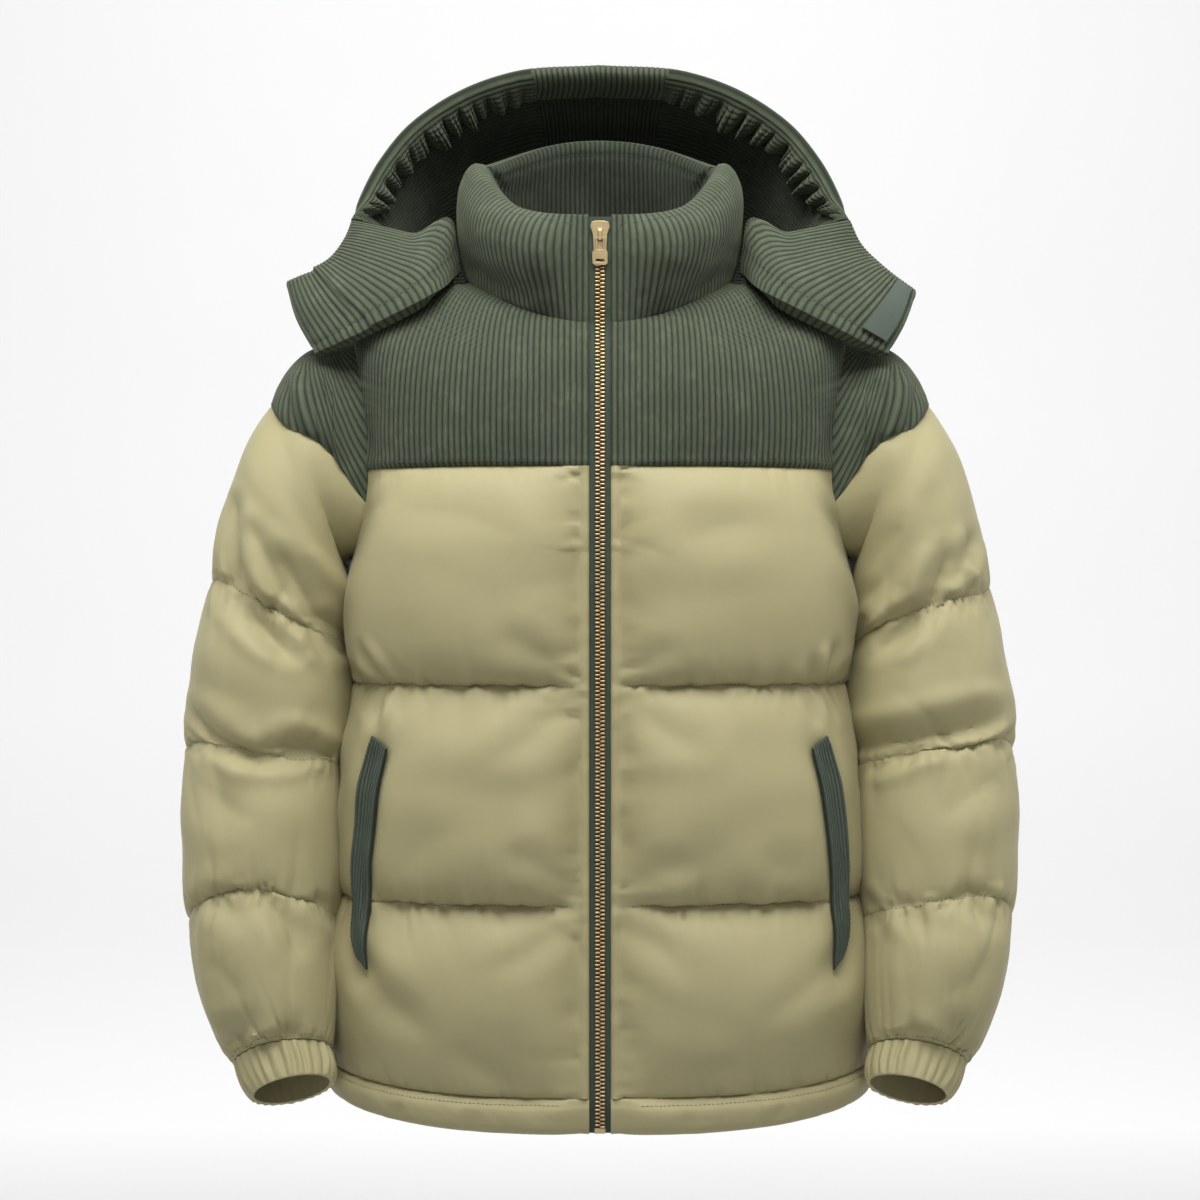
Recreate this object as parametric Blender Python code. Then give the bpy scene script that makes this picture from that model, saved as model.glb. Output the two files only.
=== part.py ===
"""Hooded quilted jacket, filled out as if worn: a hollow padded shell, corduroy yokes, collar and hood, and a zip.

Metres, +Z up. +X is the wearer's left, -Y is the front. The origin is level with the sides of the neck seam,
half way between front and back. Cloth pieces are closed walls that stand 0.3 mm apart at their seams.
"""
import math

import bmesh
import bpy
import numpy as np

# Driving sizes, in metres.
SEAM_GAP = 0.0003
CLOTH_WALL = 0.003
BODY_PUFF = 0.021
BODY_PUFF_AT_SIDE = 0.17
PUFF_FROM_PLACKET = 0.045
YOKE_PUFF = 0.008
YOKE_PUFF_AT_SHOULDER = 0.5
SLEEVE_PUFF = 0.013
SLEEVE_PUFF_LOST_INSIDE = 0.90
SLEEVE_PUFF_LOST_OUTSIDE = 0.62
COLLAR_HALF_THICKNESS = 0.0095
COLLAR_TOP = 0.0385
HOOD_WALL = 0.006
HOOD_SEAM_SHARE = 0.0008
HOOD_END = 0.997
TAB_HALF_THICKNESS = 0.007
TAB_EDGE_HALF_THICKNESS = 0.0016
PATCH_CLEARANCE = 0.0016
PATCH_THICKNESS = 0.0010
TAPE_EDGE = 0.0083
PLACKET_STITCH = 0.0150
PLACKET_RISE = 0.0230
PLACKET_SHOULDER = 0.0380
CHAIN_HALF_WIDTH = 0.0033
CHAIN_HALF_DEPTH = 0.0012
TAPE_HALF_DEPTH = 0.0005
CUFF_WALL = 0.0022
CUFF_GATHERS = 26
CUFF_GATHER_DEPTH = 0.0028
RIM_BUNCHES = 20
RIM_BUNCH_DEPTH = 0.0042
WELT_WALES = 6
WELT_WALE_HEIGHT = 0.0008

# Heights that the quilting lines and the seams keep, on the front.
HEM_EDGE = -0.650
HEM_SEAM = -0.6235
LOWER_QUILT_LINE = -0.480
UPPER_QUILT_LINE = -0.316
YOKE_SEAM = -0.152
ARMHOLE_HALF_HEIGHT = 0.065
ARMHOLE_HALF_ANGLE = math.radians(26)
ARMHOLE_SQUARENESS = 2.3
ARMHOLE_GAP_ANGLE = 0.0040
ARMHOLE_GAP_HEIGHT = 0.0010
NECK_EDGE_TURN = 0.015
QUILT_RETURN = 0.8

# How finely each piece is divided.
FRONT_COLUMNS = 10
BACK_COLUMNS = 20
SLEEVE_COLUMNS = 20

# The torso's rings: level, heights at front, side and back, half width, depths ahead of and behind the middle,
# and how square the ring is.
TORSO_RINGS = (
    (HEM_EDGE, -0.6500, -0.6340, -0.6470, 0.2010, 0.1170, 0.1180, 3.0),
    (HEM_SEAM, -0.6235, -0.6120, -0.6220, 0.2050, 0.1210, 0.1220, 3.0),
    (-0.5500, -0.5500, -0.5480, -0.5500, 0.2035, 0.1215, 0.1220, 2.9),
    (LOWER_QUILT_LINE, -0.4800, -0.4800, -0.4800, 0.2000, 0.1210, 0.1215, 2.9),
    (-0.4000, -0.4000, -0.4000, -0.4000, 0.1945, 0.1210, 0.1215, 2.9),
    (UPPER_QUILT_LINE, -0.3160, -0.3160, -0.3160, 0.1880, 0.1205, 0.1215, 2.9),
    (-0.2170, -0.2170, -0.2170, -0.2170, 0.1920, 0.1200, 0.1220, 2.8),
    (YOKE_SEAM, -0.1520, -0.1520, -0.1520, 0.1910, 0.1170, 0.1210, 2.7),
    (-0.0870, -0.0980, -0.0450, -0.0620, 0.1940, 0.1110, 0.1130, 2.5),
    (-0.0400, -0.0680, -0.0210, -0.0080, 0.1460, 0.1040, 0.1000, 2.3),
    (0.0000, -0.0420, 0.0000, 0.0300, 0.1020, 0.0950, 0.0850, 2.15),
)
# The collar's middle surface, in the same columns; its level is the share of its height.
COLLAR_RINGS = (
    (0.00, -0.0420, 0.0000, 0.0300, 0.1035, 0.0965, 0.0865, 2.15),
    (0.30, -0.0180, 0.0300, 0.0610, 0.1010, 0.0975, 0.0850, 2.15),
    (0.65, 0.0110, 0.0640, 0.0960, 0.1005, 0.0975, 0.0780, 2.15),
    (1.00, 0.0400, 0.0960, 0.1290, 0.0965, 0.0945, 0.0680, 2.15),
)
# How thick the collar is, as a share, along its height.
COLLAR_FATNESS = ((0.0, 0.16), (0.12, 0.62), (0.35, 1.0), (0.75, 1.0), (0.92, 0.80), (1.0, 0.35))

# The sleeve's rings: share of its length, outermost x and z, innermost x and z, middle y, half depth, and the
# degrees that the ring leans forward.
SLEEVE_RINGS = (
    (0.055, 0.2310, -0.0610, 0.2060, -0.2240, 0.000, 0.0705, 0),
    (0.12, 0.2565, -0.0950, 0.2050, -0.2440, 0.000, 0.0720, 0),
    (0.23, 0.2790, -0.1500, 0.2045, -0.2700, -0.003, 0.0730, 4),
    (0.355, 0.3040, -0.2400, 0.2025, -0.2900, -0.008, 0.0700, 8),
    (0.47, 0.3125, -0.3080, 0.2020, -0.3370, -0.014, 0.0700, 11),
    (0.595, 0.3205, -0.3720, 0.2050, -0.3860, -0.024, 0.0670, 15),
    (0.71, 0.3165, -0.4400, 0.2085, -0.4430, -0.039, 0.0650, 19),
    (0.82, 0.3140, -0.5000, 0.2110, -0.4990, -0.054, 0.0600, 23),
    (0.92, 0.2965, -0.5600, 0.2120, -0.5550, -0.072, 0.0510, 26),
    (1.00, 0.2755, -0.6050, 0.2080, -0.5930, -0.086, 0.0360, 28),
)
CUFF_RINGS = (
    (0.00, 0.2752, -0.6058, 0.2082, -0.5938, -0.0864, 0.0355, 28),
    (0.50, 0.2680, -0.6180, 0.2055, -0.6060, -0.0930, 0.0330, 28),
    (1.00, 0.2615, -0.6280, 0.2040, -0.6150, -0.1000, 0.0315, 28),
)
# one tube of cloth, kept as two solids that meet at the second quilting line, so that collision follows it
SLEEVE_HALVES_AT = 0.595
SLEEVE_HALVES_GAP = 0.0008
SLEEVE_QUILT_SHARES = (0.355, 0.595, 0.82)
# How far the corduroy cap reaches down the sleeve, by column counted from the top of the sleeve.
CAP_REACH = (0.125, 0.124, 0.118, 0.104, 0.075, 0.032)
CAP_TIP_SHARE = 0.80
CAP_TIP_REACH = 0.0180
CAP_ROWS = 5
CAP_GAP = 0.0016

# Half of the hood, from the middle of its back (0) round to its front end (1): four lines across it.
HOOD_RIM_LINE = (
    (0.00, 0.0000, 0.066, 0.1895), (0.24, 0.0715, 0.062, 0.1830), (0.40, 0.1150, 0.056, 0.1660),
    (0.56, 0.1540, 0.048, 0.1380), (0.70, 0.1765, 0.040, 0.1090), (0.88, 0.1945, 0.028, 0.0720),
    (1.00, 0.2010, 0.018, 0.0540),
)
HOOD_UPPER_LINE = (
    (0.00, 0.000, 0.142, 0.1460), (0.24, 0.062, 0.140, 0.1400), (0.40, 0.101, 0.134, 0.1250),
    (0.56, 0.134, 0.118, 0.1000), (0.70, 0.155, 0.096, 0.0740), (0.88, 0.170, 0.054, 0.0460),
    (1.00, 0.172, 0.002, 0.0450),
)
HOOD_LOWER_LINE = (
    (0.00, 0.000, 0.203, 0.0500), (0.24, 0.064, 0.199, 0.0460), (0.40, 0.104, 0.186, 0.0400),
    (0.56, 0.136, 0.156, 0.0300), (0.70, 0.153, 0.122, 0.0180), (0.88, 0.156, 0.060, 0.0100),
    (1.00, 0.143, -0.014, 0.0340),
)
HOOD_FOLD_LINE = (
    (0.00, 0.000, 0.170, -0.0080), (0.24, 0.056, 0.166, -0.0070), (0.40, 0.090, 0.152, -0.0050),
    (0.56, 0.117, 0.122, 0.0010), (0.70, 0.131, 0.090, 0.0060), (0.88, 0.133, 0.042, 0.0110),
    (1.00, 0.122, -0.020, 0.0190),
)
HOOD_LINE_SHARES = (0.0, 0.30, 0.62, 0.84, 0.94, 1.0)
HOOD_PANEL_SEAM = 0.185
HOOD_RIM_SHARE = 0.115
HOOD_RIM_GAP = 0.009
HOOD_NECK_ANGLE = math.radians(79)
HOOD_NECK_LEVEL = -0.0070
HOOD_LIFT = 0.0006
HOOD_OVER_YOKE_LEVEL = -0.0260
HOOD_OVER_YOKE_LIFT = 0.0150
HOOD_FRONT_FOOT = (0.1170, -0.0215, 0.0100)

# The chin tabs' outlines, both written for the wearer's left; they hang a little differently.
TAB_LOWER_EDGE = ((0.1120, -0.0200, 0.0010), (0.1326, -0.0850, -0.0290), (0.1758, -0.0800, -0.0493),
                  (0.2195, -0.0560, -0.0650))
TAB_EDGES = {
    "right": {
        "outer": ((0.2195, -0.0560, -0.0640), (0.2380, -0.0370, -0.0330), (0.2500, -0.0100, 0.0000)),
        "upper": ((0.2010, 0.0180, 0.0540), (0.2050, 0.0080, 0.0350), (0.2140, 0.0000, 0.0200),
                  (0.2500, -0.0100, 0.0000)),
    },
    "left": {
        "outer": ((0.2205, -0.0560, -0.0640), (0.2370, -0.0400, -0.0380), (0.2505, -0.0180, -0.0090)),
        "upper": ((0.2010, 0.0180, 0.0540), (0.2090, 0.0110, 0.0330), (0.2250, 0.0010, 0.0130),
                  (0.2505, -0.0180, -0.0090)),
    },
}

# Pocket welts: at each height, the angles of the inner and outer edge round the body.
WELT_ROWS = ((-0.360, 44.5, 50.0), (-0.400, 47.0, 55.5), (-0.450, 48.5, 57.0), (-0.500, 49.5, 57.0),
             (-0.527, 48.5, 52.5))
WELT_THICKNESS = 0.0022
WELT_CLEARANCE = 0.0009

# Largest folds, seen from the front: x and z of both ends, half width and depth.
FRONT_FOLDS = (
    (0.030, -0.200, 0.120, -0.172, 0.016, 0.0035), (0.022, -0.345, 0.080, -0.385, 0.014, 0.0040),
    (0.022, -0.445, 0.085, -0.470, 0.014, 0.0030), (0.022, -0.510, 0.075, -0.545, 0.014, 0.0040),
    (0.172, -0.285, 0.150, -0.340, 0.013, 0.0055), (0.150, -0.500, 0.130, -0.560, 0.014, 0.0035),
)
BACK_FOLDS = (
    (0.020, -0.200, 0.130, -0.178, 0.018, 0.0030), (0.030, -0.350, 0.120, -0.400, 0.016, 0.0035),
    (0.040, -0.440, 0.150, -0.462, 0.016, 0.0030), (0.050, -0.515, 0.140, -0.560, 0.016, 0.0035),
)
SLEEVE_FOLDS = (
    (0.292, -0.175, 0.262, -0.290, 0.012, 0.0070), (0.270, -0.195, 0.255, -0.250, 0.010, 0.0050),
    (0.246, -0.268, 0.205, -0.300, 0.011, 0.0070), (0.322, -0.345, 0.285, -0.372, 0.011, 0.0080),
    (0.272, -0.362, 0.232, -0.374, 0.010, 0.0060), (0.300, -0.500, 0.262, -0.470, 0.010, 0.0045),
    (0.290, -0.565, 0.245, -0.520, 0.011, 0.0050),
)
CAP_FOLDS = ((0.214, -0.100, 0.203, -0.150, 0.006, 0.0040), (0.228, -0.090, 0.220, -0.130, 0.006, 0.0045),
             (0.243, -0.095, 0.236, -0.122, 0.006, 0.0035))

# Zip slider and pull tab.
SLIDER_TOP = 0.0349
SLIDER_BOTTOM = 0.0184
SLIDER_HALF_WIDTH = 0.0074
SLIDER_FOOT_HALF_WIDTH = 0.0050
PLATE_INNER = 0.0019
PLATE_OUTER = 0.0031
POST_HALF_WIDTH = 0.0016
POST_BOTTOM = 0.0300
BRIDGE_HALF_WIDTH = 0.0014
BRIDGE_FOOT = 0.0190
BRIDGE_HEAD = 0.0290
BRIDGE_WALL = 0.0010
BRIDGE_OPENING = 0.0026
PULL_AXIS_HEIGHT = 0.0214
PULL_HALF_THICKNESS = 0.0007
PULL_LENGTH = 0.0205
PULL_HALF_WIDTH = 0.0059
PULL_NECK_HALF_WIDTH = 0.0036
PULL_WINDOW_HALF_WIDTH = 0.0021
PULL_WINDOW_LENGTH = 0.0088
STOP_HALF_WIDTH = 0.0042
STOP_HEIGHT = 0.0040
STOP_BOTTOM = -0.6505

COLOURS = {
    "shell": ((0.38, 0.34, 0.18), 0.55, 0.0),
    "corduroy": ((0.055, 0.078, 0.048), 0.85, 0.0),
    "tape": ((0.045, 0.085, 0.065), 0.75, 0.0),
    "patch": ((0.060, 0.085, 0.060), 0.60, 0.0),
    "teeth": ((0.62, 0.47, 0.27), 0.35, 1.0),
    "slider": ((0.50, 0.40, 0.24), 0.38, 1.0),
}


def smooth_read(keys, values, at):
    """Reads a smooth curve through the rows that never overshoots them; values may be points."""
    keys = np.asarray(keys, dtype=float)
    values = np.asarray(values, dtype=float)
    flat = values.reshape(len(keys), -1)
    steps = np.diff(keys)[:, None]
    slopes = np.diff(flat, axis=0) / steps
    tangents = np.zeros_like(flat)
    before, after = slopes[:-1], slopes[1:]
    same_way = before * after > 0
    total = np.where(same_way, before + after, 1.0)
    tangents[1:-1] = np.where(same_way, 2.0 * before * after / total, 0.0)
    tangents[0] = slopes[0]
    tangents[-1] = slopes[-1]
    at = np.asarray(at, dtype=float)
    where = np.clip(np.searchsorted(keys, at.ravel(), side="right") - 1, 0, len(keys) - 2)
    step = steps[where]
    share = ((at.ravel() - keys[where]) / (keys[where + 1] - keys[where]))[:, None]
    share = np.clip(share, 0.0, 1.0)
    read = (flat[where] * (2 * share**3 - 3 * share**2 + 1)
            + tangents[where] * step * (share**3 - 2 * share**2 + share)
            + flat[where + 1] * (3 * share**2 - 2 * share**3)
            + tangents[where + 1] * step * (share**3 - share**2))
    return read.reshape(at.shape + values.shape[1:])


def smooth_curve(keys, points, at):
    """Reads a curve through points with rounded bends, for outlines that turn back."""
    keys = np.asarray(keys, dtype=float)
    points = np.asarray(points, dtype=float)
    tangents = np.gradient(points, keys, axis=0)
    at = np.asarray(at, dtype=float)
    where = np.clip(np.searchsorted(keys, at.ravel(), side="right") - 1, 0, len(keys) - 2)
    step = (keys[where + 1] - keys[where])[:, None]
    share = ((at.ravel() - keys[where])[:, None]) / step
    read = (points[where] * (2 * share**3 - 3 * share**2 + 1)
            + tangents[where] * step * (share**3 - 2 * share**2 + share)
            + points[where + 1] * (3 * share**2 - 2 * share**3)
            + tangents[where + 1] * step * (share**3 - share**2))
    return read.reshape(at.shape + (points.shape[-1],))


def power(value, exponent):
    return np.sign(value) * np.abs(value) ** exponent


def ramp(value):
    """0 below 0, 1 above 1, smooth between."""
    share = np.clip(value, 0.0, 1.0)
    return share * share * (3.0 - 2.0 * share)


def ring_point(rings, angle, level):
    """A point of a rounded ring; the angle is 0 at the front, pi at the back, positive to the wearer's left."""
    angle, level = np.broadcast_arrays(np.asarray(angle, dtype=float), np.asarray(level, dtype=float))
    table = np.array(rings, dtype=float)
    read = smooth_read(table[:, 0], table[:, 1:], level)
    front, side, back, wide, ahead, behind, square = np.moveaxis(read, -1, 0)
    sine, cosine = np.sin(angle), np.cos(angle)
    ends = np.where(cosine > 0, front, back)
    depth = np.where(cosine > 0, ahead, behind)
    x = wide * power(sine, 2.0 / square)
    y = -depth * power(cosine, 2.0 / square)
    z = side + (ends - side) * cosine**2
    return np.stack([x, y, z], axis=-1)


def placket_angle(rings, level, x):
    """The angle at which a ring is x away from the middle of the front."""
    table = np.array(rings, dtype=float)
    read = smooth_read(table[:, 0], table[:, 1:], level)
    wide, square = read[..., 3], read[..., 6]
    return np.arcsin((x / wide) ** (square / 2.0))


def torso(angle, level):
    return ring_point(TORSO_RINGS, angle, level)


def surface_normals(surface, first, second, outward_sign, step=1e-4):
    along_first = surface(first + step, second) - surface(first - step, second)
    along_second = surface(first, second + step) - surface(first, second - step)
    normal = np.cross(along_first, along_second) * outward_sign
    length = np.linalg.norm(normal, axis=-1, keepdims=True)
    return normal / np.maximum(length, 1e-12)


def torso_normal(angle, level):
    """Points out of the cloth, and level at the neck, where the collar stands on the yokes' edge."""
    level = np.clip(level, HEM_EDGE + 2e-4, -2e-4)
    normal = surface_normals(torso, angle, level, 1.0)
    at_neck = ramp((level + NECK_EDGE_TURN) / NECK_EDGE_TURN)[..., None]
    flat = normal * np.array([1.0, 1.0, 0.0])
    normal = normal * (1.0 - at_neck) + flat / np.linalg.norm(flat, axis=-1, keepdims=True) * at_neck
    return normal / np.linalg.norm(normal, axis=-1, keepdims=True)


def folds_depth(points, folds):
    """How far the largest folds sink the cloth at each point, seen from the front; both sides are alike."""
    depth = np.zeros(points.shape[:-1])
    flat = np.stack([np.abs(points[..., 0]), points[..., 2]], axis=-1)
    for from_x, from_z, to_x, to_z, half_width, deepest in folds:
        start = np.array([from_x, from_z])
        run = np.array([to_x, to_z]) - start
        share = np.clip(((flat - start) @ run) / (run @ run), 0.0, 1.0)
        away = np.linalg.norm(flat - start - share[..., None] * run, axis=-1)
        depth = depth + deepest * np.exp(-((away / half_width) ** 2))
    return depth


def tier_puff(position, seams):
    """Pillow profile between neighbouring seams: 0 at a seam, 1 in the middle of a tier."""
    seams = np.asarray(seams, dtype=float)
    where = np.clip(np.searchsorted(seams, position, side="right") - 1, 0, len(seams) - 2)
    share = (position - seams[where]) / (seams[where + 1] - seams[where])
    share = np.clip(share, 0.0, 1.0)
    return (1.0 - np.abs(2.0 * share - 1.0) ** 2.4) ** 0.75


def armhole(turn, shrink_angle=0.0, shrink_height=0.0):
    """The armhole on the torso: turn is 0 at the shoulder, 90 degrees at the front, 180 at the armpit."""
    height = ARMHOLE_HALF_HEIGHT - shrink_height
    half_angle = ARMHOLE_HALF_ANGLE - shrink_angle
    level = YOKE_SEAM + height * power(np.cos(turn), 2.0 / ARMHOLE_SQUARENESS)
    angle = math.pi / 2 - half_angle * power(np.sin(turn), 2.0 / ARMHOLE_SQUARENESS)
    return angle, level


def armhole_spread(level):
    """Half the armhole's opening, as an angle, at a level."""
    share = np.clip(np.abs(level - YOKE_SEAM) / ARMHOLE_HALF_HEIGHT, 0.0, 1.0)
    return ARMHOLE_HALF_ANGLE * (1.0 - share**ARMHOLE_SQUARENESS) ** (1.0 / ARMHOLE_SQUARENESS)


def armhole_levels():
    turns = np.linspace(0.0, math.pi, SLEEVE_COLUMNS // 2 + 1)
    return armhole(turns)[1]


def near_armhole(angle, level):
    """0 on the armhole, growing to 1 a few centimetres away from it all round."""
    aside = np.abs(math.pi / 2 - angle) / ARMHOLE_HALF_ANGLE
    beyond = np.abs(level - YOKE_SEAM) / ARMHOLE_HALF_HEIGHT
    away = (aside**ARMHOLE_SQUARENESS + beyond**ARMHOLE_SQUARENESS) ** (1.0 / ARMHOLE_SQUARENESS)
    return ramp((away - 1.0) / QUILT_RETURN)


def close_shell(name, outer, inner, material, wrapped=False):
    """Builds a closed wall from its outer and inner grids of points."""
    rows, columns = outer.shape[:2]
    mesh = bmesh.new()
    skins = []
    for grid in (outer, inner):
        skins.append([[mesh.verts.new(tuple(point)) for point in line] for line in grid])
    spans = columns if wrapped else columns - 1
    for row in range(rows - 1):
        for first in range(spans):
            second = (first + 1) % columns
            for skin, flip in ((skins[0], False), (skins[1], True)):
                corners = [skin[row][first], skin[row][second], skin[row + 1][second], skin[row + 1][first]]
                mesh.faces.new(corners[::-1] if flip else corners)
    for row in (0, rows - 1):
        for first in range(spans):
            second = (first + 1) % columns
            corners = [skins[0][row][first], skins[1][row][first], skins[1][row][second], skins[0][row][second]]
            mesh.faces.new(corners if row == 0 else corners[::-1])
    if not wrapped:
        for edge in (0, columns - 1):
            for row in range(rows - 1):
                corners = [skins[0][row][edge], skins[0][row + 1][edge], skins[1][row + 1][edge],
                           skins[1][row][edge]]
                mesh.faces.new(corners if edge == 0 else corners[::-1])
    return finish_piece(name, mesh, material)


def finish_piece(name, mesh, material):
    bmesh.ops.recalc_face_normals(mesh, faces=mesh.faces[:])
    data = bpy.data.meshes.new(name)
    mesh.to_mesh(data)
    mesh.free()
    data.shade_smooth()
    data.set_sharp_from_angle(angle=math.radians(50))
    data.materials.append(MATERIALS[material])
    piece = bpy.data.objects.new(name, data)
    bpy.context.collection.objects.link(piece)
    return piece


def make_material(name, colour, roughness, metallic):
    material = bpy.data.materials.new(name)
    material.use_nodes = True
    shader = material.node_tree.nodes["Principled BSDF"]
    shader.inputs["Base Color"].default_value = (*colour, 1.0)
    shader.inputs["Roughness"].default_value = roughness
    shader.inputs["Metallic"].default_value = metallic
    return material


def front_angles(levels, edge_angles, side):
    """Columns of a front panel: folded edge by the zip, placket stitching, then even steps to the seam."""
    zip_edge = placket_angle(TORSO_RINGS, levels, TAPE_EDGE)
    stitch = placket_angle(TORSO_RINGS, levels, PLACKET_STITCH)
    rise = placket_angle(TORSO_RINGS, levels, PLACKET_RISE)
    shoulder = placket_angle(TORSO_RINGS, levels, PLACKET_SHOULDER)
    shares = np.linspace(0.0, 1.0, FRONT_COLUMNS)
    spread = shoulder[:, None] + (edge_angles - shoulder)[:, None] * shares[None, :]
    return side * np.concatenate([zip_edge[:, None], stitch[:, None], rise[:, None], spread], axis=1)


def torso_wall(angles, levels, puff):
    """Inner and outer points of a torso piece."""
    grid_levels = np.broadcast_to(levels[:, None], angles.shape)
    inner = torso(angles, grid_levels)
    outer = inner + torso_normal(angles, grid_levels) * (CLOTH_WALL + puff)[..., None]
    return outer, inner


def body_puff(angles, levels):
    """How far the quilting stands out on the torso below the yokes."""
    around = np.abs(angles)
    grid_levels = np.broadcast_to(levels[:, None], angles.shape)
    points = torso(angles, grid_levels)
    seams = (HEM_SEAM, LOWER_QUILT_LINE, UPPER_QUILT_LINE, YOKE_SEAM)
    tiers = tier_puff(grid_levels, seams)
    from_placket = ramp((np.abs(points[..., 0]) - PLACKET_STITCH) / PUFF_FROM_PLACKET)
    from_placket = np.where(np.cos(angles) > 0, np.sqrt(from_placket), 1.0)
    side_share = 1.0 - (1.0 - BODY_PUFF_AT_SIDE) * np.exp(-(((around - math.pi / 2) / 0.50) ** 2))
    puff = BODY_PUFF * tiers * from_placket * side_share * near_armhole(around, grid_levels)
    folds = np.where(np.cos(angles) > 0, folds_depth(points, FRONT_FOLDS), folds_depth(points, BACK_FOLDS))
    return np.maximum(puff - folds * tiers, 0.0)


def panel_levels(bottom, top, count):
    """Levels between two seams, closer together near the seams."""
    shares = 0.5 - 0.5 * np.cos(np.linspace(0.0, math.pi, count))
    return bottom + (top - bottom) * (0.55 * shares + 0.45 * np.linspace(0.0, 1.0, count))


def shell_levels():
    """Levels of the khaki body from the hem seam to the yoke seam, with rows at the armhole's own points."""
    lower = panel_levels(HEM_SEAM + SEAM_GAP / 2, LOWER_QUILT_LINE, 5)
    middle = panel_levels(LOWER_QUILT_LINE, UPPER_QUILT_LINE, 6)
    upper = np.array([UPPER_QUILT_LINE, -0.298, -0.262])
    armpit = armhole_levels()[::-1]
    armpit = armpit[armpit < YOKE_SEAM - 1e-6]
    return np.concatenate([lower, middle[1:], upper[1:], armpit, [YOKE_SEAM - SEAM_GAP / 2]])


def yoke_levels():
    armhole_rows = armhole_levels()[::-1]
    armhole_rows = armhole_rows[armhole_rows > YOKE_SEAM + 1e-6]
    return np.concatenate([[YOKE_SEAM + SEAM_GAP / 2], armhole_rows, [-0.055, -0.025, -SEAM_GAP]])


def side_seam(levels):
    """The angle at which a front piece meets the back, along the armhole, side seam and shoulder seam."""
    spread = armhole_spread(levels)
    seam = SEAM_GAP / 0.100
    return math.pi / 2 - np.maximum(spread, seam * 0.5)


def make_front(side, name):
    levels = shell_levels()
    angles = front_angles(levels, side_seam(levels), side)
    outer, inner = torso_wall(angles, levels, body_puff(angles, levels))
    return close_shell(name, outer, inner, "shell")


def back_angles(levels):
    """The back's edge is as far behind the side seam as the front's is ahead of it."""
    half_spread = side_seam(levels)
    return math.pi + half_spread[:, None] * np.linspace(-1.0, 1.0, BACK_COLUMNS + 1)[None, :]


def around_back(angles):
    """Back angles run past pi; this folds them to -pi..pi."""
    return np.where(angles > math.pi, angles - 2 * math.pi, angles)


def make_back():
    levels = shell_levels()
    angles = around_back(back_angles(levels))
    outer, inner = torso_wall(angles, levels, body_puff(angles, levels))
    return close_shell("back", outer, inner, "shell")


def yoke_puff(angles, levels):
    around = np.abs(angles)
    grid_levels = np.broadcast_to(levels[:, None], angles.shape)
    points = torso(angles, grid_levels)
    tiers = tier_puff(grid_levels, (YOKE_SEAM, 0.0))
    from_placket = ramp((np.abs(points[..., 0]) - PLACKET_STITCH) / PUFF_FROM_PLACKET)
    from_placket = np.where(np.cos(angles) > 0, from_placket, 1.0)
    shoulder = 1.0 - (1.0 - YOKE_PUFF_AT_SHOULDER) * np.exp(-(((around - math.pi / 2) / 0.25) ** 2))
    return YOKE_PUFF * tiers * from_placket * shoulder * near_armhole(around, grid_levels)


def make_yokes():
    levels = yoke_levels()
    for side, name in ((-1, "yoke_front_right"), (1, "yoke_front_left")):
        angles = front_angles(levels, side_seam(levels), side)
        outer, inner = torso_wall(angles, levels, yoke_puff(angles, levels))
        close_shell(name, outer, inner, "corduroy")
    angles = around_back(back_angles(levels))
    outer, inner = torso_wall(angles, levels, yoke_puff(angles, levels))
    close_shell("yoke_back", outer, inner, "corduroy")


def make_hem():
    """The rolled tunnel, from one side of the zip round the back to the other."""
    levels = np.array([HEM_EDGE, -0.6440, -0.6340, HEM_SEAM - SEAM_GAP / 2])
    bulge = np.array([0.0005, 0.0050, 0.0055, 0.0])
    seam_angles = np.full(len(levels), math.pi / 2)
    front = front_angles(levels, seam_angles, 1.0)
    back = math.pi - np.linspace(math.pi / 2, -math.pi / 2, BACK_COLUMNS + 1)[None, :]
    back = np.repeat(back, len(levels), axis=0)
    angles = np.concatenate([front[:, :-1], around_back(back), -front[:, -2::-1]], axis=1)
    points = torso(angles, np.broadcast_to(levels[:, None], angles.shape))
    open_edge = np.where(np.cos(angles) > 0, ramp((np.abs(points[..., 0]) - PLACKET_STITCH) / 0.02), 1.0)
    outer, inner = torso_wall(angles, levels, bulge[:, None] * open_edge)
    close_shell("hem", outer, inner, "shell")


def sleeve_ring(table, share, turn):
    """A point of a ring that stands between its outermost and innermost points; 90 degrees is its front."""
    rows = np.array(table, dtype=float)
    read = smooth_read(rows[:, 0], rows[:, 1:], share)
    outer_x, outer_z, inner_x, inner_z, centre_y, depth, lean = np.moveaxis(read, -1, 0)
    lean = np.radians(lean)
    across_x, across_z = (outer_x - inner_x) / 2, (outer_z - inner_z) / 2
    x = (outer_x + inner_x) / 2 + across_x * np.cos(turn)
    y = centre_y - depth * np.cos(lean) * np.sin(turn)
    z = (outer_z + inner_z) / 2 + across_z * np.cos(turn) + depth * np.sin(lean) * np.sin(turn)
    return np.stack([x, y, z], axis=-1)


def sleeve_surface(turn, share):
    """The sleeve's inner surface, from the armhole's points to the cuff, on the wearer's left."""
    turn, share = np.broadcast_arrays(np.asarray(turn, dtype=float), np.asarray(share, dtype=float))
    shares = [row[0] for row in SLEEVE_RINGS]
    angle, level = armhole(turn, ARMHOLE_GAP_ANGLE, ARMHOLE_GAP_HEIGHT)
    start = torso(angle, level)
    stations = [start] + [sleeve_ring(SLEEVE_RINGS, np.full(turn.shape, key), turn) for key in shares]
    keys = np.concatenate([[0.0], shares])
    stacked = np.stack(stations)
    return read_stations(keys, stacked, share)


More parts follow.
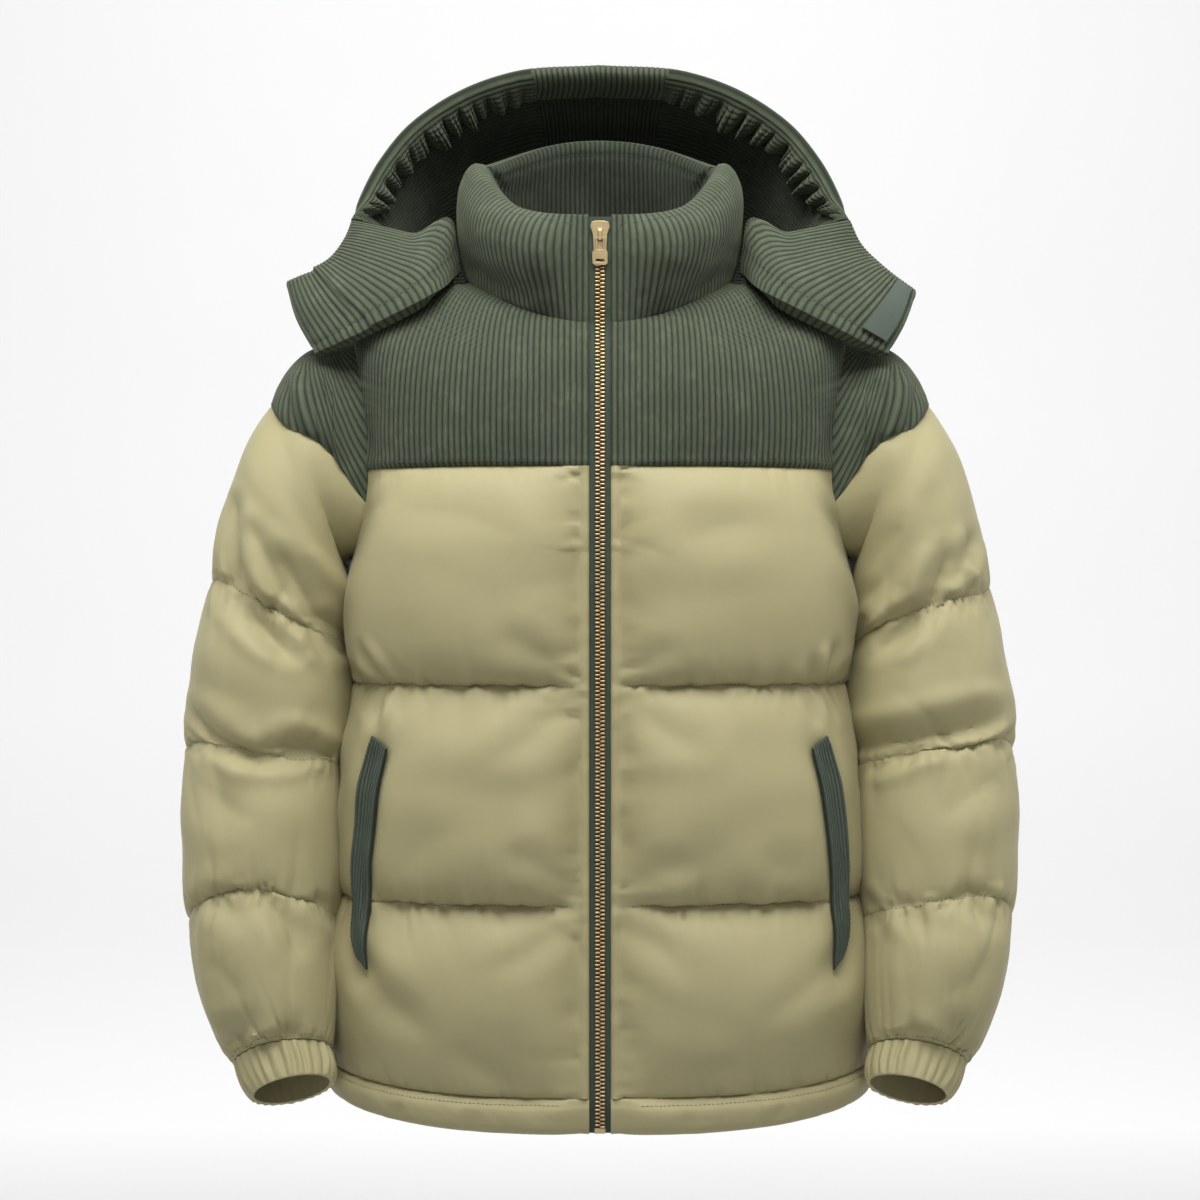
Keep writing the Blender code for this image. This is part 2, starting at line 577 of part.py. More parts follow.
def read_stations(keys, stacked, share):
    """Reads each point's own smooth curve through its stations."""
    steps = np.diff(keys)
    slopes = np.diff(stacked, axis=0) / steps.reshape((-1,) + (1,) * (stacked.ndim - 1))
    tangents = np.empty_like(stacked)
    tangents[1:-1] = (slopes[:-1] + slopes[1:]) / 2
    tangents[0] = slopes[0]
    tangents[-1] = slopes[-1]
    where = np.clip(np.searchsorted(keys, share, side="right") - 1, 0, len(keys) - 2)
    step = steps[where][..., None]
    part = ((share - keys[where]) / steps[where])[..., None]
    pick = tuple(np.indices(share.shape))
    low, high = stacked[(where,) + pick], stacked[(where + 1,) + pick]
    low_run, high_run = tangents[(where,) + pick], tangents[(where + 1,) + pick]
    return (low * (2 * part**3 - 3 * part**2 + 1) + low_run * step * (part**3 - 2 * part**2 + part)
            + high * (3 * part**2 - 2 * part**3) + high_run * step * (part**3 - part**2))


def sleeve_wall(turns, shares, tiers, folds, puff_height):
    """Outer and inner points of a piece of the sleeve on the wearer's left."""
    inner = sleeve_surface(turns, shares)
    normals = surface_normals(sleeve_surface, turns, np.clip(shares, 2e-4, 1.0 - 2e-4), 1.0)
    start_angle, start_level = armhole(turns, ARMHOLE_GAP_ANGLE, ARMHOLE_GAP_HEIGHT)
    at_start = torso_normal(start_angle, start_level)
    last = np.full(turns.shape, 1.0)
    middle = (sleeve_ring(SLEEVE_RINGS, last, turns) + sleeve_ring(SLEEVE_RINGS, last, turns + math.pi)) / 2
    at_end = inner - middle
    at_end = at_end / np.linalg.norm(at_end, axis=-1, keepdims=True)
    from_start = ramp(shares / 0.05)[..., None]
    to_end = ramp((shares - 0.97) / 0.03)[..., None]
    normals = (normals * from_start + at_start * (1.0 - from_start)) * (1.0 - to_end) + at_end * to_end
    normals = normals / np.linalg.norm(normals, axis=-1, keepdims=True)
    facing_body = 0.5 - 0.5 * np.cos(turns)
    outer_side = np.clip(np.cos(turns), 0.0, 1.0)
    height = puff_height * (1.0 - SLEEVE_PUFF_LOST_INSIDE * facing_body**1.5)
    height = height * (1.0 - SLEEVE_PUFF_LOST_OUTSIDE * outer_side**2)
    puff = np.maximum((height - folds_depth(inner, folds)) * tiers, 0.0)
    return inner + normals * (CLOTH_WALL + puff)[..., None], inner


def mirrored(points, side):
    return points * np.array([side, 1.0, 1.0])


def sleeve_starts():
    """Where the khaki sleeve starts below its cap, column by column from the top."""
    starts = []
    for place in range(SLEEVE_COLUMNS):
        from_top = min(place, SLEEVE_COLUMNS - place)
        starts.append(CAP_REACH[from_top] + CAP_GAP if from_top < len(CAP_REACH) else 0.0)
    return np.array(starts)


def make_sleeves():
    turns = np.arange(SLEEVE_COLUMNS) * (2 * math.pi / SLEEVE_COLUMNS)
    seams = (0.0,) + SLEEVE_QUILT_SHARES + (1.0,)
    tiers = [np.linspace(seams[0], seams[1], 6), np.linspace(seams[1], seams[2], 6),
             np.linspace(seams[2], seams[3], 6), np.linspace(seams[3], seams[4], 5)]
    shares = np.concatenate([tiers[0], tiers[1][1:], tiers[2][1:], tiers[3][1:]])
    starts = sleeve_starts()
    first_tier_end = seams[1]
    grid = np.repeat(shares[:, None], SLEEVE_COLUMNS, axis=1)
    quilting = tier_puff(grid, seams)
    upper = grid < first_tier_end
    grid = np.where(upper, starts[None, :] + grid * (1.0 - starts[None, :] / first_tier_end), grid)
    grid_turns = np.broadcast_to(turns[None, :], grid.shape)
    middle = int(np.argmin(np.abs(shares - SLEEVE_HALVES_AT)))
    for half, rows, end, step in (("upper", slice(0, middle + 1), -1, -1.0), ("lower", slice(middle, None), 0, 1.0)):
        part = grid[rows].copy()
        part[end] += step * SLEEVE_HALVES_GAP / 2
        outer, inner = sleeve_wall(grid_turns[rows], part, quilting[rows], SLEEVE_FOLDS, SLEEVE_PUFF)
        for side, name in ((-1, "right"), (1, "left")):
            close_shell(f"sleeve_{half}_{name}", mirrored(outer, side), mirrored(inner, side), "shell", wrapped=True)


def make_sleeve_caps():
    """Corduroy crescents over the heads of the sleeves; each tip lies on the edge of the next column."""
    last = len(CAP_REACH) - 1
    places = np.arange(-last, last + 1)
    step = 2 * math.pi / SLEEVE_COLUMNS
    parts = np.linspace(0.0, 1.0, CAP_ROWS)
    reach = np.array([CAP_REACH[abs(place)] for place in places])
    shares = parts[:, None] * reach[None, :]
    turns = np.broadcast_to((places * step)[None, :], shares.shape)
    swell = np.broadcast_to(tier_puff(parts, (0.0, 1.0))[:, None], shares.shape)
    skins = list(sleeve_wall(turns, shares, swell, CAP_FOLDS, YOKE_PUFF))
    flat = np.zeros(CAP_ROWS)
    for end in (-1, 1):
        near = sleeve_wall(np.full(CAP_ROWS, end * last * step), parts * CAP_TIP_REACH, flat, (), 0.0)
        far = sleeve_wall(np.full(CAP_ROWS, end * (last + 1) * step), flat, flat, (), 0.0)
        for skin in (0, 1):
            tip = (near[skin] * (1.0 - CAP_TIP_SHARE) + far[skin] * CAP_TIP_SHARE)[:, None]
            skins[skin] = np.concatenate([tip, skins[skin]] if end < 0 else [skins[skin], tip], axis=1)
    for side, name in ((-1, "sleeve_cap_right"), (1, "sleeve_cap_left")):
        close_shell(name, mirrored(skins[0], side), mirrored(skins[1], side), "corduroy")


def make_cuffs():
    """Elastic cuffs: the outer wall rises and falls with each gather."""
    columns = CUFF_GATHERS * 2
    turns = np.arange(columns) * (2 * math.pi / columns)
    shares = np.array([0.0, 0.35, 1.0])
    grid_turns, grid_shares = np.broadcast_arrays(turns[None, :], shares[:, None])

    def surface(turn, share):
        return sleeve_ring(CUFF_RINGS, share, turn)

    inner = surface(grid_turns, grid_shares)
    normals = surface_normals(surface, grid_turns, np.clip(grid_shares, 1e-3, 1 - 1e-3), 1.0)
    top_middle = (surface(turns, np.zeros(columns)) + surface(turns + math.pi, np.zeros(columns))) / 2
    normals[0] = inner[0] - top_middle
    normals = normals / np.linalg.norm(normals, axis=-1, keepdims=True)
    gather = np.where(np.arange(columns) % 2 == 0, CUFF_GATHER_DEPTH, 0.0)[None, :]
    swell = np.array([0.0, 1.0, 0.8])[:, None]
    outer = inner + normals * (CUFF_WALL + gather * swell)[..., None]
    for side, name in ((-1, "cuff_right"), (1, "cuff_left")):
        close_shell(name, mirrored(outer, side), mirrored(inner, side), "shell", wrapped=True)


def collar_surface(angle, share):
    return ring_point(COLLAR_RINGS, angle, share)


def collar_half_thickness(points, angles, shares):
    fatness = smooth_read([row[0] for row in COLLAR_FATNESS], [row[1] for row in COLLAR_FATNESS], shares)
    from_zip = ramp((np.abs(points[..., 0]) - PLACKET_STITCH + 0.004) / 0.035)
    from_zip = np.where(np.cos(angles) > 0, from_zip, 1.0)
    thin = CLOTH_WALL / 2
    return thin + (COLLAR_HALF_THICKNESS - thin) * (fatness - 0.16) / 0.84 * from_zip


def make_collar():
    shares = np.array([0.006, 0.10, 0.28, 0.52, 0.76, 0.92, 1.0])
    at_neck = np.zeros(len(shares))
    front = front_angles(at_neck, np.full(len(shares), math.pi / 2), 1.0)
    front[:, 0] = placket_angle(COLLAR_RINGS, shares, TAPE_EDGE + SEAM_GAP)
    back = math.pi - np.linspace(math.pi / 2, -math.pi / 2, BACK_COLUMNS + 1)[None, :]
    back = np.repeat(back, len(shares), axis=0)
    angles = np.concatenate([front[:, :-1], around_back(back), -front[:, -2::-1]], axis=1)
    grid = np.broadcast_to(shares[:, None], angles.shape)
    middle = collar_surface(angles, grid)
    normals = surface_normals(collar_surface, angles, np.clip(grid, 1e-3, 1 - 1e-3), 1.0)
    half = collar_half_thickness(middle, angles, grid)[..., None]
    close_shell("collar", middle + normals * half, middle - normals * half, "corduroy")


def hood_surface(place, share):
    """The hood's middle surface: place runs from one front end (-1) over the back (0) to the other (1)."""
    place, share = np.broadcast_arrays(np.asarray(place, dtype=float), np.asarray(share, dtype=float))
    around = np.clip(np.abs(place), 0.0, 1.0)
    stations = []
    for line in (HOOD_RIM_LINE, HOOD_UPPER_LINE, HOOD_LOWER_LINE, HOOD_FOLD_LINE):
        rows = np.array(line)
        stations.append(smooth_curve(rows[:, 0], rows[:, 1:], around))
    angle = math.pi - (math.pi - HOOD_NECK_ANGLE) * around
    lift = CLOTH_WALL + HOOD_LIFT + HOOD_WALL / 2
    for at_level, height in ((HOOD_OVER_YOKE_LEVEL, HOOD_OVER_YOKE_LIFT), (HOOD_NECK_LEVEL, lift)):
        level = np.full(around.shape, at_level)
        stations.append(torso(angle, level) + torso_normal(angle, level) * height)
    to_front = ramp((around - 0.80) / 0.20)[..., None]
    stations[-2] = stations[-2] * (1.0 - to_front) + np.array(HOOD_FRONT_FOOT) * to_front
    half = read_stations(np.array(HOOD_LINE_SHARES), np.stack(stations), share)
    half[..., 0] *= np.where(place < 0, -1.0, 1.0)
    return half


def hood_wall(places, shares, outside):
    grid_places, grid_shares = np.broadcast_arrays(places[None, :], shares[:, None])
    middle = hood_surface(grid_places, grid_shares)
    normals = surface_normals(hood_surface, np.clip(grid_places, -0.998, 0.998),
                              np.clip(grid_shares, 1e-3, 1 - 1e-3), -1.0)
    swell = np.sin(math.pi * np.clip((grid_shares - HOOD_RIM_SHARE) / (1 - HOOD_RIM_SHARE), 0, 1)) ** 0.5
    from_front_end = ramp((1.0 - np.abs(grid_places)) / 0.12)
    half = HOOD_WALL / 2 * (0.5 + 0.5 * swell * from_front_end)
    return middle + normals * (half * outside)[..., None]


def make_hood():
    shares = np.concatenate([[HOOD_RIM_SHARE + HOOD_RIM_GAP], np.linspace(0.17, 0.86, 9), [0.93, 0.99]])
    within, beyond = HOOD_PANEL_SEAM - HOOD_SEAM_SHARE, HOOD_PANEL_SEAM + HOOD_SEAM_SHARE
    panels = (("hood_centre", np.linspace(-within, within, 7)),
              ("hood_side_right", np.linspace(-HOOD_END, -beyond, 12)),
              ("hood_side_left", np.linspace(beyond, HOOD_END, 12)))
    for name, places in panels:
        close_shell(name, hood_wall(places, shares, 1.0), hood_wall(places, shares, -1.0), "corduroy")


def make_hood_rim():
    """The elastic casing: its inner edge is bunched where the elastic draws it in."""
    columns = RIM_BUNCHES * 3 + 1
    places = np.linspace(-HOOD_END, HOOD_END, columns)
    shares = np.array([0.0, 0.045, HOOD_RIM_SHARE])
    thickness = np.array([0.0035, 0.0060, 0.0022])
    grid_places, grid_shares = np.broadcast_arrays(places[None, :], shares[:, None])
    middle = hood_surface(grid_places, grid_shares)
    normals = surface_normals(hood_surface, np.clip(grid_places, -0.998, 0.998),
                              np.clip(grid_shares, 1e-3, 1 - 1e-3), -1.0)
    bunch = 0.5 + 0.5 * np.cos(np.arange(columns) * 2 * math.pi / 3)
    gathered = np.clip((np.abs(places) - HOOD_PANEL_SEAM) / 0.15, 0.0, 1.0)
    to_end = ramp((1.0 - np.abs(places)) / 0.14)
    gathered = gathered * to_end
    fullness = (0.35 + 0.65 * to_end)[None, :]
    raised = RIM_BUNCH_DEPTH * (bunch * gathered)[None, :] * np.array([0.15, 1.0, 0.0])[:, None]
    outer = middle + normals * (thickness[:, None] * fullness)[..., None]
    inner = middle - normals * (thickness[:, None] * fullness + raised)[..., None]
    close_shell("hood_rim", outer, inner, "corduroy")


def outline(points, at):
    points = np.array(points)
    lengths = np.concatenate([[0.0], np.cumsum(np.linalg.norm(np.diff(points, axis=0), axis=1))])
    return smooth_curve(lengths / lengths[-1], points, at)


def tab_surface(edges, across, along):
    """A chin tab, as on the wearer's left: across 0 is its seam with the hood, along 0 its lower edge."""
    across, along = np.broadcast_arrays(np.asarray(across, dtype=float), np.asarray(along, dtype=float))
    seam = hood_surface(np.ones(along.shape), 1.0 - along)
    outer = outline(edges["outer"], along)
    lower = outline(TAB_LOWER_EDGE, across)
    upper = outline(edges["upper"], across)
    corners = [hood_surface(np.ones(1), np.array([1.0]))[0], hood_surface(np.ones(1), np.array([0.0]))[0],
               np.array(edges["outer"][0]), np.array(edges["outer"][-1])]
    fade = (1.0 - across)[..., None]
    lower = lower + (corners[0] - np.array(TAB_LOWER_EDGE[0])) * fade
    lower = lower + (corners[2] - np.array(TAB_LOWER_EDGE[-1])) * (1 - fade)
    upper = upper + (corners[1] - np.array(edges["upper"][0])) * fade
    share, rise = across[..., None], along[..., None]
    ruled_across = seam * (1 - share) + outer * share
    ruled_along = lower * (1 - rise) + upper * rise
    bilinear = (corners[0] * (1 - share) * (1 - rise) + corners[2] * share * (1 - rise)
                + corners[1] * (1 - share) * rise + corners[3] * share * rise)
    return ruled_across + ruled_along - bilinear


def tab_half_thickness(across, along):
    edge = np.minimum(np.minimum(along, 1.0 - along) / 0.16, np.minimum(across / 0.16, (1.0 - across) / 0.14))
    rounded = np.sqrt(np.clip(1.0 - (1.0 - np.clip(edge, 0.0, 1.0)) ** 2, 0.0, 1.0))
    return TAB_EDGE_HALF_THICKNESS + (TAB_HALF_THICKNESS - TAB_EDGE_HALF_THICKNESS) * rounded


def tab_skin(edges, across, along, height):
    def surface(first, second):
        return tab_surface(edges, first, second)

    normals = surface_normals(surface, np.clip(across, 2e-3, 1 - 2e-3), np.clip(along, 2e-3, 1 - 2e-3), 1.0)
    return surface(across, along) + normals * height[..., None]


def make_hood_tabs():
    across = np.array([0.012, 0.09, 0.20, 0.34, 0.48, 0.62, 0.76, 0.88, 0.96, 1.0])
    along = np.array([0.03, 0.08, 0.18, 0.34, 0.50, 0.66, 0.82, 0.93, 0.975])
    grid_across, grid_along = np.broadcast_arrays(across[None, :], along[:, None])
    half = tab_half_thickness(grid_across, grid_along)
    for side, name in ((-1, "right"), (1, "left")):
        top = tab_skin(TAB_EDGES[name], grid_across, grid_along, half)
        bottom = tab_skin(TAB_EDGES[name], grid_across, grid_along, -half)
        close_shell("hood_tab_" + name, mirrored(top, side), mirrored(bottom, side), "corduroy")


def make_hook_patch():
    """Lies on the wearer's left tab, near its outer edge."""
    across = np.array([0.80, 0.88, 0.945])
    along = np.array([0.12, 0.34, 0.66, 0.88])
    grid_across, grid_along = np.broadcast_arrays(across[None, :], along[:, None])
    under = tab_half_thickness(grid_across, grid_along) + PATCH_CLEARANCE
    edges = TAB_EDGES["left"]
    close_shell("hook_patch", tab_skin(edges, grid_across, grid_along, under + PATCH_THICKNESS),
                tab_skin(edges, grid_across, grid_along, under), "patch")


def panel_point(angles_of_panel, levels_of_panel, points, angle, level):
    """Reads a front panel's outer skin between its own points."""
    row = int(np.clip(np.searchsorted(levels_of_panel, level, side="right") - 1, 0, len(levels_of_panel) - 2))
    share = (level - levels_of_panel[row]) / (levels_of_panel[row + 1] - levels_of_panel[row])
    found = []
    for line in (row, row + 1):
        around = np.abs(angles_of_panel[line])
        first = int(np.clip(np.searchsorted(around, angle, side="right") - 1, 0, len(around) - 2))
        part = (angle - around[first]) / (around[first + 1] - around[first])
        found.append(points[line, first] * (1.0 - part) + points[line, first + 1] * part)
    return found[0] * (1.0 - share) + found[1] * share


def make_welts():
    """Ribbed welts, made from the front panels' own outer points and moved out."""
    rows = np.array(WELT_ROWS)[::-1]
    levels_of_panel = shell_levels()
    within = levels_of_panel[(levels_of_panel > rows[0, 0] + 0.004) & (levels_of_panel < rows[-1, 0] - 0.004)]
    levels = np.concatenate([rows[:1, 0], within, rows[-1:, 0]])
    edges = np.radians(smooth_read(rows[:, 0], rows[:, 1:], levels))
    columns = WELT_WALES * 2 + 1
    ribs = np.where(np.arange(columns) % 2 == 1, WELT_WALE_HEIGHT, 0.0)
    angles_of_panel = front_angles(levels_of_panel, side_seam(levels_of_panel), 1.0)
    panel = torso_wall(angles_of_panel, levels_of_panel, body_puff(angles_of_panel, levels_of_panel))[0]
    bottom = np.empty((len(levels), columns, 3))
    top = np.empty((len(levels), columns, 3))
    for row, level in enumerate(levels):
        for place in range(columns):
            angle = edges[row, 0] + (edges[row, 1] - edges[row, 0]) * place / (columns - 1)
            normal = torso_normal(np.array(angle), np.array(level))
            seat = panel_point(angles_of_panel, levels_of_panel, panel, angle, level)
            bottom[row, place] = seat + normal * WELT_CLEARANCE
            top[row, place] = bottom[row, place] + normal * (WELT_THICKNESS + ribs[place])
    for side, name in ((-1, "welt_right"), (1, "welt_left")):
        close_shell(name, mirrored(top, side), mirrored(bottom, side), "corduroy")


def zip_line(height):
    """Depth of the zip's middle plane at a height, down the collar and the fronts."""
    torso_rows = np.array(TORSO_RINGS)
    collar_rows = np.array(COLLAR_RINGS)
    heights = np.concatenate([torso_rows[:, 1], collar_rows[1:, 1]])
    depths = np.concatenate([-torso_rows[:, 5] - CLOTH_WALL / 2, -collar_rows[1:, 5]])
    return smooth_read(heights, depths, height)


def strip(name, left, right, heights, half_depth, material):
    """A flat strip that follows the zip's line."""
    depths = zip_line(heights)
    front = np.stack([np.stack([np.full(len(heights), x), depths - half_depth, heights], axis=-1)
                      for x in (left, right)], axis=1)
    back = front + np.array([0.0, 2 * half_depth, 0.0])
    close_shell(name, front, back, material)


def make_tapes():
    """Both tapes as one solid: they meet above the slider, where the chain ends."""
    heights = np.append(np.linspace(HEM_EDGE + 0.001, SLIDER_TOP + SEAM_GAP, 25), COLLAR_TOP)
    inside, outside = CHAIN_HALF_WIDTH + SEAM_GAP, TAPE_EDGE - SEAM_GAP
    mesh = bmesh.new()
    skins = []
    for away in (-TAPE_HALF_DEPTH, TAPE_HALF_DEPTH):
        skins.append([[mesh.verts.new((x, float(depth) + away, height)) for x in (-outside, -inside, inside, outside)]
                      for height, depth in zip(heights, zip_line(heights))])
    front, back = skins
    last = len(heights) - 2
    cells = sorted([(row, column) for row in range(last + 1) for column in (0, 2)] + [(last, 1)])
    for row, column in cells:
        corners = ((row, column), (row, column + 1), (row + 1, column + 1), (row + 1, column))
        mesh.faces.new([front[up][over] for up, over in corners])
        mesh.faces.new([back[up][over] for up, over in reversed(corners)])
        beside = ((row - 1, column), (row, column + 1), (row + 1, column), (row, column - 1))
        for number, neighbour in enumerate(beside):
            if neighbour not in cells:
                (up, over), (next_up, next_over) = corners[number], corners[(number + 1) % 4]
                mesh.faces.new([front[next_up][next_over], front[up][over], back[up][over], back[next_up][next_over]])
    finish_piece("zip_tape", mesh, "tape")


def make_zip():
    make_tapes()
    chain_heights = np.linspace(STOP_BOTTOM + STOP_HEIGHT + SEAM_GAP, POST_BOTTOM - SEAM_GAP, 25)
    strip("zip_chain", -CHAIN_HALF_WIDTH, CHAIN_HALF_WIDTH, chain_heights, CHAIN_HALF_DEPTH, "teeth")


def extruded(mesh, outline_points, start, end, axis):
    """Adds a closed block: an outline pushed along one axis. Outline points are the two other coordinates."""
    def place(first, second, along):
        if axis == "y":
            return (first, along, second)
        return (along, first, second)
    near = [mesh.verts.new(place(first, second, start)) for first, second in outline_points]
    far = [mesh.verts.new(place(first, second, end)) for first, second in outline_points]
    mesh.faces.new(near)
    mesh.faces.new(far[::-1])
    count = len(near)
    for place_of in range(count):
        after = (place_of + 1) % count
        mesh.faces.new((near[place_of], far[place_of], far[after], near[after]))


def joined(name, blocks, material):
    """Unites closed blocks into one body."""
    pieces = []
    for number, block in enumerate(blocks):
        mesh = bmesh.new()
        extruded(mesh, *block)
        pieces.append(finish_piece(f"{name}_block_{number}", mesh, material))
    base = pieces[0]
    for other in pieces[1:]:
        union = base.modifiers.new("union", "BOOLEAN")
        union.operation = "UNION"
        union.object = other
        other.hide_render = True
        other.display_type = "WIRE"
    base.name = name
    return base


def make_slider():
    depth = float(zip_line(np.array((SLIDER_TOP + SLIDER_BOTTOM) / 2)))
    shoulder = SLIDER_TOP - 0.0045
    plate = ((-SLIDER_FOOT_HALF_WIDTH, SLIDER_BOTTOM), (SLIDER_FOOT_HALF_WIDTH, SLIDER_BOTTOM),
             (SLIDER_FOOT_HALF_WIDTH + 0.0006, SLIDER_BOTTOM + 0.006), (SLIDER_HALF_WIDTH, shoulder),
             (SLIDER_HALF_WIDTH - 0.0012, SLIDER_TOP - 0.0008), (0.0030, SLIDER_TOP),
             (-0.0030, SLIDER_TOP), (-SLIDER_HALF_WIDTH + 0.0012, SLIDER_TOP - 0.0008),
             (-SLIDER_HALF_WIDTH, shoulder), (-SLIDER_FOOT_HALF_WIDTH - 0.0006, SLIDER_BOTTOM + 0.006))
    post = ((-POST_HALF_WIDTH, POST_BOTTOM), (POST_HALF_WIDTH, POST_BOTTOM),
            (POST_HALF_WIDTH, SLIDER_TOP - 0.0008), (-POST_HALF_WIDTH, SLIDER_TOP - 0.0008))
    face = depth - PLATE_OUTER + 0.0002
    under = depth - PLATE_OUTER - BRIDGE_OPENING
    arch = ((face, BRIDGE_FOOT), (under - BRIDGE_WALL, BRIDGE_FOOT + 0.0006),
            (under - BRIDGE_WALL, BRIDGE_HEAD - 0.0022), (face, BRIDGE_HEAD),
            (face, BRIDGE_HEAD - 0.0014), (under, BRIDGE_HEAD - 0.0034),
            (under, BRIDGE_FOOT + BRIDGE_WALL), (face, BRIDGE_FOOT + BRIDGE_WALL))
    joined("zip_slider", (
        (plate, depth - PLATE_OUTER, depth - PLATE_INNER, "y"),
        (plate, depth + PLATE_INNER, depth + PLATE_OUTER, "y"),
        (post, depth - PLATE_OUTER + 0.0003, depth + PLATE_OUTER - 0.0003, "y"),
        (arch, -BRIDGE_HALF_WIDTH, BRIDGE_HALF_WIDTH, "x"),
    ), "slider")
    return depth


def make_pull_tab(depth):
    """A flat plate with a window for the bridge at its top and a slot near its end, hanging on its top bar."""
    axis_depth = depth - PLATE_OUTER - BRIDGE_OPENING / 2
    end = -PULL_LENGTH
    neck = -PULL_WINDOW_LENGTH + 0.0012
    half = [(PULL_NECK_HALF_WIDTH, PULL_HALF_THICKNESS), (PULL_NECK_HALF_WIDTH, neck),
            (PULL_HALF_WIDTH, neck - 0.0030), (PULL_HALF_WIDTH, end + 0.0016), (PULL_HALF_WIDTH - 0.0016, end)]
    rim = half + [(-x, z) for x, z in reversed(half)]
    window = [(-PULL_WINDOW_HALF_WIDTH, -PULL_HALF_THICKNESS), (PULL_WINDOW_HALF_WIDTH, -PULL_HALF_THICKNESS),
              (PULL_WINDOW_HALF_WIDTH, -PULL_WINDOW_LENGTH), (-PULL_WINDOW_HALF_WIDTH, -PULL_WINDOW_LENGTH)]
    slot = [(-0.0030, end + 0.0026), (0.0030, end + 0.0026), (0.0030, end + 0.0046), (-0.0030, end + 0.0046)]

    def block(name, points, half_depth):
        mesh = bmesh.new()
        raised = [(x, z + PULL_AXIS_HEIGHT) for x, z in points]
        extruded(mesh, raised, axis_depth - half_depth, axis_depth + half_depth, "y")
        return finish_piece(name, mesh, "slider")

    tab = block("zip_pull_tab", rim, PULL_HALF_THICKNESS)
    for name, hole in (("pull_window_cutter", window), ("pull_slot_cutter", slot)):
        cutter = block(name, hole, 4 * PULL_HALF_THICKNESS)
        cutter.hide_render = True
        cutter.display_type = "WIRE"
        cut = tab.modifiers.new(name, "BOOLEAN")
        cut.operation = "DIFFERENCE"
        cut.object = cutter


def make_bottom_stop():
    depth = float(zip_line(np.array(STOP_BOTTOM + STOP_HEIGHT / 2)))
    rim = ((-STOP_HALF_WIDTH, STOP_BOTTOM), (STOP_HALF_WIDTH, STOP_BOTTOM),
           (STOP_HALF_WIDTH, STOP_BOTTOM + STOP_HEIGHT), (-STOP_HALF_WIDTH, STOP_BOTTOM + STOP_HEIGHT))
    front = ((-CHAIN_HALF_WIDTH, STOP_BOTTOM), (CHAIN_HALF_WIDTH, STOP_BOTTOM),
             (CHAIN_HALF_WIDTH, STOP_BOTTOM + STOP_HEIGHT), (-CHAIN_HALF_WIDTH, STOP_BOTTOM + STOP_HEIGHT))
    joined("zip_bottom_stop", (
        (front, depth - 0.0015, depth + 0.0015, "y"),
        (rim, depth - 0.0016, depth - TAPE_HALF_DEPTH - SEAM_GAP, "y"),
    ), "teeth")


def clear_scene():
    for leftover in list(bpy.data.objects):
        bpy.data.objects.remove(leftover, do_unlink=True)


clear_scene()
MATERIALS = {name: make_material(name, *finish) for name, finish in COLOURS.items()}
make_front(-1, "front_right")
make_front(1, "front_left")
make_back()
make_yokes()
make_hem()
make_sleeves()
make_sleeve_caps()
make_cuffs()
make_collar()
make_hood()
make_hood_rim()
make_hood_tabs()
make_hook_patch()
make_welts()
make_zip()
make_pull_tab(make_slider())
make_bottom_stop()
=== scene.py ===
import math

import bmesh
import bpy
import numpy as np
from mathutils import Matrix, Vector


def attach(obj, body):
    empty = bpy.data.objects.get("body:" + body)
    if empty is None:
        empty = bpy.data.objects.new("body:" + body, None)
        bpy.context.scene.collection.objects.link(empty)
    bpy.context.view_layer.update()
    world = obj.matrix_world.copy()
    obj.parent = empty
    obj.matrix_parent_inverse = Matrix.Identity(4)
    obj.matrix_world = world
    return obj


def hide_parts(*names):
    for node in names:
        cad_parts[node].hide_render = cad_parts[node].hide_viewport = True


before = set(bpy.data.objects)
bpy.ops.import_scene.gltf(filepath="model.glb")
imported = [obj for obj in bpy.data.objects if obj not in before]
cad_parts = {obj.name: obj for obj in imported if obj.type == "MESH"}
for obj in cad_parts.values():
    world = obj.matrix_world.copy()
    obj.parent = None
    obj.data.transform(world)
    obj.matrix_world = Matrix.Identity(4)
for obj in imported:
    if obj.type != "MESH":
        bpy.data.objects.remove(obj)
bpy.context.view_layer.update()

# metres, +Z up, +X the wearer's left, -Y the front
pitch = 0.0045  # from one corduroy wale to the next
seamLevel = {"hemEdge": -0.650, "hem": -0.6235, "lower": -0.480, "upper": -0.316, "yoke": -0.152, "neck": 0.0}
tierSeams = [seamLevel[name] for name in ("hem", "lower", "upper", "yoke")]


# curves, noise and small helpers


def power(value, exponent):
    return np.sign(value) * np.abs(value) ** exponent


def clip01(value):
    return np.clip(value, 0.0, 1.0)


def ramp(value):
    share = clip01(value)
    return share * share * (3.0 - 2.0 * share)


def hump(value, width):
    return np.exp(-((value / width) ** 2))


def halfTurned(angles):
    # from 0 to a whole turn into from minus to plus half a turn
    return np.where(angles > math.pi, angles - 2 * math.pi, angles)


def bothSides(name, node):
    return (-1, name + "Right", node + "_right"), (1, name + "Left", node + "_left")


def mirrored(points, side):
    return points * np.array([side, 1.0, 1.0])


def placed(name, data):
    thing = bpy.data.objects.new(name, data)
    bpy.context.scene.collection.objects.link(thing)
    return thing


def hermite(low, high, lowRun, highRun, share):
    return (low * (2 * share**3 - 3 * share**2 + 1) + lowRun * (share**3 - 2 * share**2 + share)
            + high * (3 * share**2 - 2 * share**3) + highRun * (share**3 - share**2))


